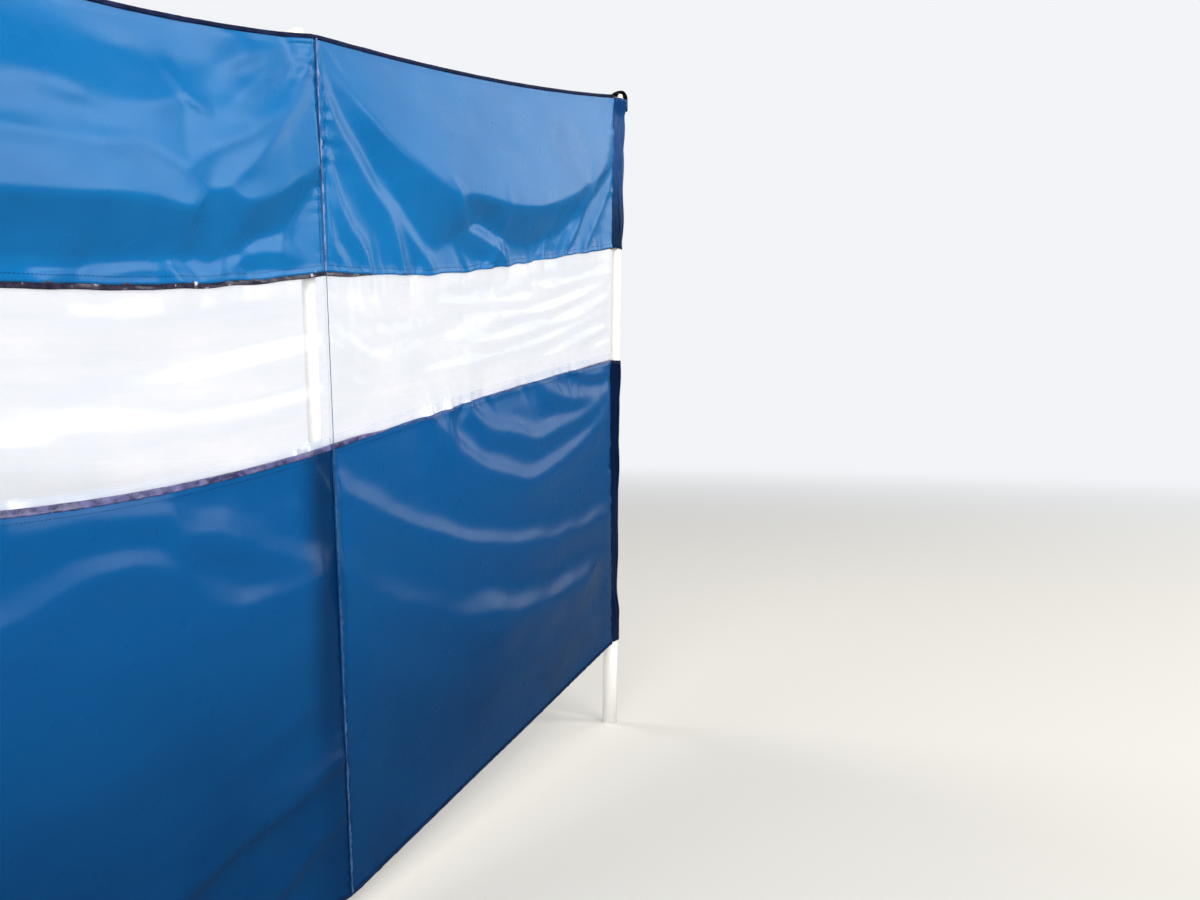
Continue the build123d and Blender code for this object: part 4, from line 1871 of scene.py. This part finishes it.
@dataclass
class Stitching:
    """A bay's rows of lock stitches, laid along lines on the cloth by geometry nodes."""

    bay: Bay
    finishes: Finishes
    pitch: float = 0.0046
    length: float = 0.0032
    thread: float = 0.00075
    seed: int = 3
    hem_inset: float = 0.0040
    lap_inset: float = 0.009
    left_inset: float = 0.0075
    right_inset: float = 0.006
    edge_short: float = 0.012
    lap_short: float = 0.003
    hem_proud: float = 0.0026
    lap_proud: float = 0.0013
    seam_proud: float = 0.0007

    def edge_lines(self) -> list[Array]:
        """The rows along the cloth's edges and along both laps."""
        rows = ((Edge.HEM, self.hem_inset, self.hem_proud),
                (Edge.WINDOW_BOTTOM, -self.lap_inset, self.lap_proud),
                (Edge.WINDOW_TOP, self.lap_inset, self.lap_proud),
                (Edge.TOP, -self.hem_inset, self.hem_proud))
        shares = np.linspace(0.004, 0.996, 260)
        return [self.bay.point(shares, np.full(shares.shape, self.bay.row.level(edge) + inset), proud)
                for edge, inset, proud in rows]

    def seam_lines(self) -> list[Array]:
        """The rows beside the seams at inner posts."""
        bay, row = self.bay, self.bay.row
        lower = (self.edge_short, row.lower_band - self.lap_short)
        upper = (row.level(Edge.WINDOW_TOP) + self.lap_short, row.height - self.edge_short)
        shares = [self.left_inset / bay.span] if bay.number > 0 else []
        shares += [] if bay.is_last else [1 - self.right_inset / bay.span]
        return [bay.point(np.full(200, share), np.linspace(*limits, 200), self.seam_proud)
                for limits in (lower, upper) for share in shares]

    def tree(self, name: str) -> NodeTree:
        """Build the node tree: points along each line, a stitch on each, realized.

        Args:
            name: The piece's name.

        Returns:
            The tree.
        """
        tree = bpy.data.node_groups.new(f"{name} stitches", "GeometryNodeTree")
        face = tree.interface
        face.new_socket("Lines", in_out="INPUT", socket_type="NodeSocketGeometry")
        inputs = {"Pitch": "Float", "Stitch length": "Float", "Thread": "Float", "Seed": "Int"}
        for socket, kind in inputs.items():
            face.new_socket(socket, in_out="INPUT", socket_type=f"NodeSocket{kind}")
        face.new_socket("Stitches", in_out="OUTPUT", socket_type="NodeSocketGeometry")
        given = add_node(tree, "NodeGroupInput")
        curve = add_node(tree, "GeometryNodeMeshToCurve", {"Mesh": (given, "Lines")})
        points = add_node(tree, "GeometryNodeCurveToPoints", {"Curve": curve, "Length": (given, "Pitch")},
                          mode="LENGTH")
        half = add_node(tree, "ShaderNodeMath", {0: (given, "Stitch length"), 1: 0.5}, operation="MULTIPLY")
        stitch = add_node(tree, "GeometryNodeMeshUVSphere", {"Segments": 5, "Rings": 3, "Radius": half})
        slim = add_node(tree, "ShaderNodeMath", {0: (given, "Thread"), 1: (given, "Stitch length")},
                        operation="DIVIDE")
        jitter = add_node(tree, "FunctionNodeRandomValue", {"Min": 0.85, "Max": 1.1, "Seed": (given, "Seed")},
                          data_type="FLOAT")
        scale = add_node(tree, "ShaderNodeCombineXYZ", {0: slim, 1: slim, 2: (jitter, 1)})
        laid = add_node(tree, "FunctionNodeAlignRotationToVector", {"Vector": (points, "Tangent")}, axis="Z")
        placed = add_node(tree, "GeometryNodeInstanceOnPoints", {
            "Points": points, "Instance": stitch, "Rotation": laid, "Scale": scale})
        real = add_node(tree, "GeometryNodeRealizeInstances", {"Geometry": placed})
        dressed = add_node(tree, "GeometryNodeSetMaterial", {
            "Geometry": real, "Material": self.finishes.thread.material()})
        add_node(tree, "NodeGroupOutput", {"Stitches": dressed})
        return tree

    def lay(self, name: str, lines: list[Array]) -> None:
        """Lay stitches along lines, turn them into one plain mesh and dress it.

        Args:
            name: The piece's name.
            lines: Points of each line.
        """
        edges, start = [], 0
        for line in lines:
            edges += [(step, step + 1) for step in range(start, start + len(line) - 1)]
            start += len(line)
        mesh = bpy.data.meshes.new(f"{name} lines")
        mesh.from_pydata([tuple(point) for point in np.concatenate(lines)], edges, [])
        piece = bpy.data.objects.new(name, mesh)
        bpy.context.scene.collection.objects.link(piece)
        modifier = piece.modifiers.new("stitches", "NODES")
        modifier.node_group = self.tree(name)
        values = {"Pitch": self.pitch, "Stitch length": self.length, "Thread": self.thread, "Seed": self.seed}
        for item in modifier.node_group.interface.items_tree:
            if item.name in values and item.in_out == "INPUT":
                modifier[item.identifier] = values[item.name]
        graph = bpy.context.evaluated_depsgraph_get()
        result = bpy.data.meshes.new_from_object(piece.evaluated_get(graph))
        piece.modifiers.clear()
        piece.data = result
        result.shade_smooth()
        dress(piece, self.finishes.thread)

    def build(self) -> None:
        """Make and dress the bay's stitches."""
        self.lay(f"edges_thread_{self.bay.number + 1}", self.edge_lines())
        self.lay(f"seams_thread_{self.bay.number + 1}", self.seam_lines())


def seen_rays(tree: NodeTree) -> Node:
    """Tell the rays that see the pale background, from the camera or through the film.

    Args:
        tree: Node tree to add to.

    Returns:
        A node that gives 1 for those rays.
    """
    path = add_node(tree, "ShaderNodeLightPath")
    rays = {0: (path, "Is Camera Ray"), 1: (path, "Is Transmission Ray")}
    return add_node(tree, "ShaderNodeMath", rays, operation="MAXIMUM")


@dataclass(frozen=True)
class StudioFloor(Finish):
    """Matt pale card, which passes into the background's colour far from the row."""

    colour: str = "#DAD8D3"
    bounce: str = "#757C84"
    background: str = "#F2F4F7"
    ramp_from: float = 3.5
    ramp_to: float = 12.0

    def paint(self, tree: NodeTree, shader: Node) -> None:
        """Feed the shader, and lay the background's glow over it where it is far away.

        Args:
            tree: The material's tree.
            shader: Its Principled shader.
        """
        path = add_node(tree, "ShaderNodeLightPath")
        tone = add_node(tree, "ShaderNodeMix", {
            "Factor": (path, "Is Glossy Ray"), 6: self.colour, 7: self.bounce}, data_type="RGBA")
        feed(tree, shader, {"Base Color": (tone, 2), "Roughness": 0.9, "Specular IOR Level": 0.1})
        place = add_node(tree, "ShaderNodeTexCoord")
        far = add_node(tree, "ShaderNodeVectorMath", {0: (place, "Object")}, operation="LENGTH")
        fade = add_node(tree, "ShaderNodeMapRange", {
            "Value": (far, "Value"), "From Min": self.ramp_from, "From Max": self.ramp_to},
            interpolation_type="SMOOTHSTEP")
        both = add_node(tree, "ShaderNodeMath", {0: fade, 1: seen_rays(tree)}, operation="MULTIPLY")
        glow = add_node(tree, "ShaderNodeEmission", {"Color": self.background, "Strength": 1.0})
        mixed = add_node(tree, "ShaderNodeMixShader", {0: both, 1: shader, 2: glow})
        output = next(node for node in tree.nodes if node.bl_idname == "ShaderNodeOutputMaterial")
        feed(tree, output, {"Surface": mixed})


@dataclass(frozen=True)
class Studio:
    """Pale floor, soft lights, and the camera at the photograph's viewing angle."""

    eye: tuple[float, float, float] = (0.2405, -1.1962, 0.7297)
    yaw: float = 46.264
    pitch: float = 2.683
    roll: float = 0.570
    focal_pixels: float = 1101.6
    picture_width: float = 1200.0
    sensor: float = 36.0
    floor: StudioFloor = StudioFloor("studio floor")
    floor_radius: float = 60.0
    surround: str = "#E8EEF6"
    ambient: float = 0.25
    target: tuple[float, float, float] = (0.4, 0.1, 0.7)

    def camera(self) -> None:
        """Make the camera."""
        yaw, pitch, roll = (math.radians(angle) for angle in (self.yaw, self.pitch, self.roll))
        ahead = Vector((math.cos(yaw) * math.cos(pitch), math.sin(yaw) * math.cos(pitch), -math.sin(pitch)))
        right = Vector((math.sin(yaw), -math.cos(yaw), 0.0))
        above = right.cross(ahead)
        across = right * math.cos(roll) + above * math.sin(roll)
        upright = above * math.cos(roll) - right * math.sin(roll)
        data = bpy.data.cameras.new("camera")
        data.sensor_width = self.sensor
        data.sensor_fit = "HORIZONTAL"
        data.lens = self.focal_pixels / self.picture_width * self.sensor
        data.clip_end = 200.0
        camera = bpy.data.objects.new("camera", data)
        turn = Matrix((across, upright, -ahead)).transposed().to_4x4()
        camera.matrix_world = Matrix.Translation(Vector(self.eye)) @ turn
        bpy.context.scene.collection.objects.link(camera)
        bpy.context.scene.camera = camera

    def lay_floor(self) -> None:
        """Make the round pale floor."""
        work = bmesh.new()
        bmesh.ops.create_circle(work, cap_ends=True, segments=96, radius=self.floor_radius)
        mesh = bpy.data.meshes.new("floor")
        work.to_mesh(mesh)
        work.free()
        floor = bpy.data.objects.new("floor", mesh)
        bpy.context.scene.collection.objects.link(floor)
        mesh.materials.append(self.floor.material())

    def light(
        self, name: str, place: tuple[float, float, float], size: tuple[float, float], watts: float, tint: str
    ) -> None:
        """Add a soft light that faces the middle of the row.

        Args:
            name: Name of the light.
            place: Where it hangs.
            size: Its width and height.
            watts: Its power.
            tint: Its colour.
        """
        data = bpy.data.lights.new(name, "AREA")
        data.shape = "RECTANGLE"
        data.size, data.size_y = size
        data.energy = watts
        data.color = hex_linear(tint)[:3]
        lamp = bpy.data.objects.new(name, data)
        aim = Vector(self.target) - Vector(place)
        turn = aim.to_track_quat("-Z", "Y").to_matrix().to_4x4()
        lamp.matrix_world = Matrix.Translation(Vector(place)) @ turn
        lamp.visible_camera = False
        bpy.context.scene.collection.objects.link(lamp)

    def world(self) -> None:
        """Make an even pale surround."""
        world = bpy.data.worlds.new("surround")
        world.use_nodes = True
        tree = world.node_tree
        tree.nodes.clear()
        lit = add_node(tree, "ShaderNodeBackground", {"Color": self.surround, "Strength": self.ambient})
        backdrop = add_node(tree, "ShaderNodeBackground", {"Color": self.floor.background, "Strength": 1.0})
        mixed = add_node(tree, "ShaderNodeMixShader", {0: seen_rays(tree), 1: lit, 2: backdrop})
        add_node(tree, "ShaderNodeOutputWorld", {"Surface": mixed})
        bpy.context.scene.world = world

    def build(self) -> None:
        """Make the whole studio."""
        self.lay_floor()
        self.world()
        self.light("front", (0.8, -7.5, 7.5), (5.0, 5.0), 520.0, "#FFFAF2")
        self.light("fill", (-3.5, -7.0, 2.5), (5.0, 4.0), 200.0, "#FFFDF8")
        for side, name in ((1, "right"), (-1, "left")):
            self.light(f"{name} end", (side * 8.6, -0.4, 4.0), (3.6, 4.2), 110.0, "#FFFDF8")
            self.light(f"{name} corner", (side * 6.2, -5.4, 4.8), (3.6, 4.2), 330.0, "#FFFDF8")
        self.light("overhead", (0.0, 0.6, 6.0), (6.0, 6.0), 60.0, "#FFFFFF")
        self.light("back", (-1.0, 8.5, 5.5), (5.0, 5.0), 330.0, "#FFFFFF")
        self.camera()
        bpy.context.scene.view_settings.view_transform = "Standard"


# Each fold's line is traced off the photograph: share of the bay, then height up the cloth.
# After it a Ridge takes rise, above, below, fade, bend, crest_radius and loose.


def right_bay_folds(row: Row) -> list[Fold]:
    """List the folds of the bay beside the right end post, which the photograph shows whole.

    Args:
        row: The row's plan and sizes.

    Returns:
        The folds: the swag, then those of the upper cloth, of the lower cloth and at edges.
    """
    window_top = row.level(Edge.WINDOW_TOP)
    window_bottom = row.level(Edge.WINDOW_BOTTOM)
    crest = traced(-20, 1163, 0, 1155, 28, 1146, 63, 1129, 107, 1097, 153, 1063, 219, 1031, 297, 1001,
                   376, 993, 504, 976, 587, 975, 680, 986, 771, 1001, 851, 1025, 930, 1056, 1000, 1095)
    tilt = traced(0, 80, 120, 150, 350, 170, 750, 160, 1000, 90)
    fall = traced(0, 18, 44, 38, 100, 55, 200, 82, 270, 98, 330, 70, 400, 42, 475, 50, 600, 72, 750, 70,
                  900, 55, 1000, 50)
    return [
        Swag(crest, tilt, fall, row.height, 0.002),
        Ridge(traced(2, 1121, 28, 1082, 74, 1032, 113, 991, 144, 964, 166, 930, 190, 880), 0.01, 0.027,
              0.036, 0.05, 1.0, 0.0025, True),
        Ridge(traced(165, 965, 205, 930, 250, 900, 285, 872), 0.006, 0.016, 0.014, 0.05, 1.2, 0.002),
        Ridge(traced(4, 1060, 16, 1025, 31, 978, 55, 944, 82, 915, 110, 872), 0.0065, 0.016, 0.022, 0.04,
              1.0, 0.002),
        Ridge(traced(9, 960, 18, 922, 38, 894, 55, 872), 0.004, 0.01, 0.012, 0.03, 1.0, 0.002),
        Ridge(traced(305, 985, 345, 950, 405, 928, 460, 908, 515, 880), 0.012, 0.026, 0.026, 0.05, 1.0,
              0.002, True),
        Ridge(traced(472, 965, 485, 935, 505, 900), 0.004, 0.01, 0.012, 0.03, 1.3, 0.002),
        Ridge(traced(740, 872, 765, 900, 800, 928, 825, 958, 865, 1010, 975, 1066), 0.009, 0.03, 0.018,
              0.06, 1.0, 0.003),
        Ridge(traced(840, 872, 900, 930, 950, 980, 990, 1030), 0.005, 0.02, 0.016, 0.05, 1.2, 0.002),
        Ridge(traced(0, 572, 49, 541, 119, 497, 193, 458, 283, 419, 375, 385, 483, 355, 597, 334, 717, 314,
              860, 300, 1000, 290), 0.011, 0.018, 0.06, 0.04, 1.6),
        Ridge(traced(140, 498, 243, 449, 330, 414, 400, 392), 0.0016, 0.004, 0.006, 0.08, 1.5, 0.0015),
        Ridge(traced(235, 640, 251, 622, 288, 587, 319, 555, 383, 519, 459, 487, 545, 460, 613, 452,
              733, 464, 843, 480, 934, 507, 1000, 540), 0.011, 0.018, 0.045, 0.04, 1.6),
        Ridge(traced(355, 632, 370, 617, 405, 591, 462, 564, 533, 543, 620, 524, 703, 522, 805, 525,
              930, 540), 0.008, 0.014, 0.026, 0.06, 1.6),
        Ridge(traced(640, 615, 662, 606, 721, 585, 816, 566, 955, 556, 1000, 555), 0.006, 0.016, 0.02, 0.05,
              1.6),
        Ridge(traced(780, 624, 880, 604, 1000, 598), 0.006, 0.026, 0.005, 0.05, 1.3, 0.001, True),
        Ridge(traced(-20, 455, 31, 427, 76, 390, 168, 342, 240, 309, 330, 270, 434, 245, 614, 211,
              850, 195), 0.015, 0.036, 0.08, 0.16, 1.6),
        Ridge(traced(320, 283, 434, 255, 614, 222, 800, 208, 970, 212), 0.011, 0.024, 0.06, 0.2, 1.6),
        Ridge(traced(0, 350, 200, 230, 450, 140, 700, 100, 1000, 110), 0.005, 0.03, 0.05, 0.1),
        Ridge(traced(-20, 196, 0, 200, 45, 207), -0.003, 0.004, 0.006, 0.02, 1.3, 0.001),
        Gather(window_top, 0.05, 0.0034, 0.046, 31, 0.02, 0.98),
        Gather(window_bottom, 0.05, 0.0034, 0.046, 32, 0.08, 0.85),
        Fan((1.0, row.height), 0.003, 0.075, 9.0, 5, True),
        Fan((0.0, row.height), 0.0012, 0.08, 9.0, 6),
        Fan((1.0, window_bottom), 0.0014, 0.1, 8.0, 8),
    ]


def left_bay_folds(row: Row) -> list[Fold]:
    """List the folds of the bay to its left, of which the photograph shows the right part.

    Args:
        row: The row's plan and sizes.

    Returns:
        The folds, in the same order.
    """
    window_top = row.level(Edge.WINDOW_TOP)
    window_bottom = row.level(Edge.WINDOW_BOTTOM)
    crest = traced(0, 1100, 150, 1030, 350, 985, 550, 965, 700, 972, 734, 971, 764, 964, 789, 965, 800, 979,
                   820, 986, 839, 984, 852, 975, 888, 975, 923, 988, 947, 1002, 977, 1012, 1000, 1022)
    tilt = traced(0, 60, 200, 160, 800, 160, 930, 130, 1000, 60)
    fall = traced(0, 40, 200, 70, 741, 70, 790, 64, 823, 90, 853, 68, 887, 50, 941, 55, 972, 38, 1000, 20)
    return [
        Swag(crest, tilt, fall, row.height, 0.002),
        Ridge(traced(550, 880, 700, 885, 741, 888, 790, 884, 823, 880, 853, 893, 887, 908, 930, 905,
              960, 895), 0.005, 0.018, 0.02, 0.05, 1.0, 0.002),
        Ridge(traced(500, 1030, 660, 1032, 739, 1034, 760, 1023, 782, 1014, 802, 1025, 834, 1043, 873, 1063,
              930, 1090), 0.006, 0.05, 0.018, 0.1, 1.1, 0.003),
        Ridge(traced(835, 988, 851, 1004, 874, 1022, 894, 1040, 922, 1065, 947, 1090, 980, 1118), 0.005,
              0.034, 0.013, 0.06, 1.1, 0.003),
        Ridge(traced(757, 1130, 763, 1124, 781, 1100, 808, 1084, 816, 1080), 0.0035, 0.014, 0.004, 0.014,
              1.0, 0.001),
        Ridge(traced(620, 1080, 744, 1084, 768, 1092, 798, 1099), 0.004, 0.03, 0.016, 0.06, 1.2, 0.003),
        Ridge(traced(810, 1196, 831, 1195, 853, 1190, 890, 1182), 0.005, 0.006, 0.016, 0.03, 1.2, 0.002),
        Ridge(traced(835, 1146, 854, 1151, 882, 1164, 935, 1180), 0.005, 0.026, 0.012, 0.05, 1.2, 0.003),
        Ridge(traced(855, 1108, 871, 1118, 889, 1129, 935, 1150), 0.0026, 0.018, 0.01, 0.05, 1.3, 0.003),
        Ridge(traced(915, 900, 925, 916, 937, 940, 950, 962), 0.003, 0.014, 0.014, 0.03, 1.2, 0.003),
        Ridge(traced(840, 885, 865, 905, 877, 889), -0.0025, 0.006, 0.01, 0.015, 1.3, 0.002),
        Ridge(traced(955, 1191, 975, 1191.5, 1010, 1189.5), 0.0034, 0.006, 0.0032, 0.012, 1.2, 0.0006, True),
        Ridge(traced(960, 1180, 980, 1179.5, 1010, 1177), 0.0034, 0.006, 0.0034, 0.012, 1.2, 0.0006, True),
        Ridge(traced(962, 1168, 980, 1166.5, 1010, 1163), 0.0034, 0.007, 0.004, 0.012, 1.2, 0.0006, True),
        Ridge(traced(50, 1150, 250, 1100, 500, 1085, 660, 1100), 0.009, 0.04, 0.03, 0.1),
        Ridge(traced(550, 600, 700, 600, 747, 593, 772, 571, 827, 549, 880, 514, 938, 484, 985, 470), 0.009,
              0.022, 0.03, 0.04),
        Ridge(traced(0, 560, 300, 470, 550, 500, 700, 535, 748, 520, 794, 478, 835, 454, 880, 449, 936, 444,
              990, 450), 0.01, 0.022, 0.045, 0.05),
        Ridge(traced(550, 10, 700, 92, 784, 130, 885, 167, 947, 187, 1010, 200), 0.012, 0.044, 0.014, 0.04,
              1.2, 0.0015),
        Ridge(traced(840, 10, 898, 60, 942, 94, 1010, 128), 0.008, 0.032, 0.012, 0.04, 1.2, 0.0015),
        Ridge(traced(800, 235, 875, 256, 950, 290), 0.003, 0.014, 0.014, 0.08),
        Ridge(traced(50, 380, 300, 280, 600, 260, 780, 330, 950, 360), 0.008, 0.06, 0.07, 0.12),
        Ridge(traced(952, 640, 964, 607, 989, 567, 1010, 530), 0.005, 0.006, 0.006, 0.02, 1.4, 0.001),
        Ridge(traced(930, 640, 945, 607, 965, 570), 0.004, 0.007, 0.007, 0.02, 1.4, 0.001),
        Gather(window_top, 0.045, 0.0028, 0.036, 41, 0.02, 0.97),
        Gather(window_bottom, 0.05, 0.0028, 0.044, 42, 0.05, 0.95),
        Fan((1.0, row.height), 0.002, 0.16, 8.0, 15),
        Fan((0.0, row.height), 0.0022, 0.16, 8.0, 16),
    ]


def film_creases(right: bool) -> list[Ridge]:
    """List the sharp creases in the film.

    Args:
        right: Whether of the photograph's right bay, or of the one to its left.

    Returns:
        The creases.
    """
    if right:
        lines = [
            traced(0, 800, 40, 775, 95, 748, 130, 735),
            traced(0, 778, 30, 760, 72, 741, 100, 730),
            traced(20, 735, 60, 708, 100, 690),
            traced(300, 820, 450, 806, 600, 800),
            traced(250, 700, 500, 696, 750, 712, 970, 740),
            traced(400, 735, 620, 728, 820, 742, 970, 766),
            traced(500, 770, 700, 768, 970, 800),
            traced(550, 665, 750, 675, 970, 700),
            traced(620, 822, 780, 815, 970, 832),
        ]
    else:
        lines = [
            traced(735, 672, 780, 678, 830, 682),
            traced(790, 660, 840, 663),
            traced(845, 663, 865, 670, 885, 678),
            traced(0, 800, 50, 770, 120, 745),
            traced(200, 700, 400, 690, 620, 694),
        ]
    return [Ridge(line, 0.0026, 0.0055, 0.009, 0.03, 1.3, 0.0008) for line in lines]


def mirrored(folds: list[Fold]) -> list[Fold]:
    """Change the left and right of folds over."""
    return [fold.mirrored() for fold in folds]


def make_bays(row: Row) -> list[Bay]:
    """Give each bay its folds: the two on the left mirror the two that the photograph shows.

    Args:
        row: The row's plan and sizes.

    Returns:
        The bays, from left to right.
    """
    right, left = right_bay_folds(row), left_bay_folds(row)
    right_film, left_film = film_creases(True), film_creases(False)
    right_wave = traced(0, 0, 100, -3, 250, -5, 450, -1, 600, 3, 750, 4, 1000, 0)
    left_wave = traced(0, 0, 300, -2, 700, 2, 1000, 0)
    right_cover = traced(0, 120, 60, 250, 130, 1000, 500, 1000, 800, 1000, 880, 800, 1000, 650)
    left_cover = traced(0, 0, 500, 0, 1000, 120)
    calm = 0.0006
    return [
        Bay(row, 0, mirrored(right), mirrored(right_film), turned(right_wave), turned(right_cover), 100, calm),
        Bay(row, 1, mirrored(left), mirrored(left_film), left_wave, turned(left_cover), 200),
        Bay(row, 2, left, left_film, left_wave, left_cover, 300),
        Bay(row, 3, right, right_film, right_wave, right_cover, 400, calm),
    ]


def main() -> None:
    """Build every piece of the windbreak in order."""
    logging.basicConfig(level=logging.INFO, format="%(name)s: %(message)s")
    row = Row()
    bays = make_bays(row)
    finishes = Finishes(bays[2].free_share * bays[2].span)
    for number in range(row.bays + 1):
        Post(row, number, finishes).build()
    for bay in bays:
        ClothBay(bay, finishes).build()
        LapTapes(bay, finishes).build()
    EdgeTapes(bays, finishes).build()
    for bay in bays[:-1]:
        InnerSleeve(bay, finishes).build()
    for bay in bays[1:]:
        SeamPiping(bay, finishes).build()
    for bay in (bays[0], bays[-1]):
        EndSleeve(bay, finishes).build()
    for post in (0, row.bays):
        EndLoop(row, post, finishes).build()
    for bay in bays:
        Stitching(bay, finishes).build()
    for bay in bays:
        ClothBay(bay, finishes).declare()
    Studio().build()


if __name__ == "__main__":
    main()
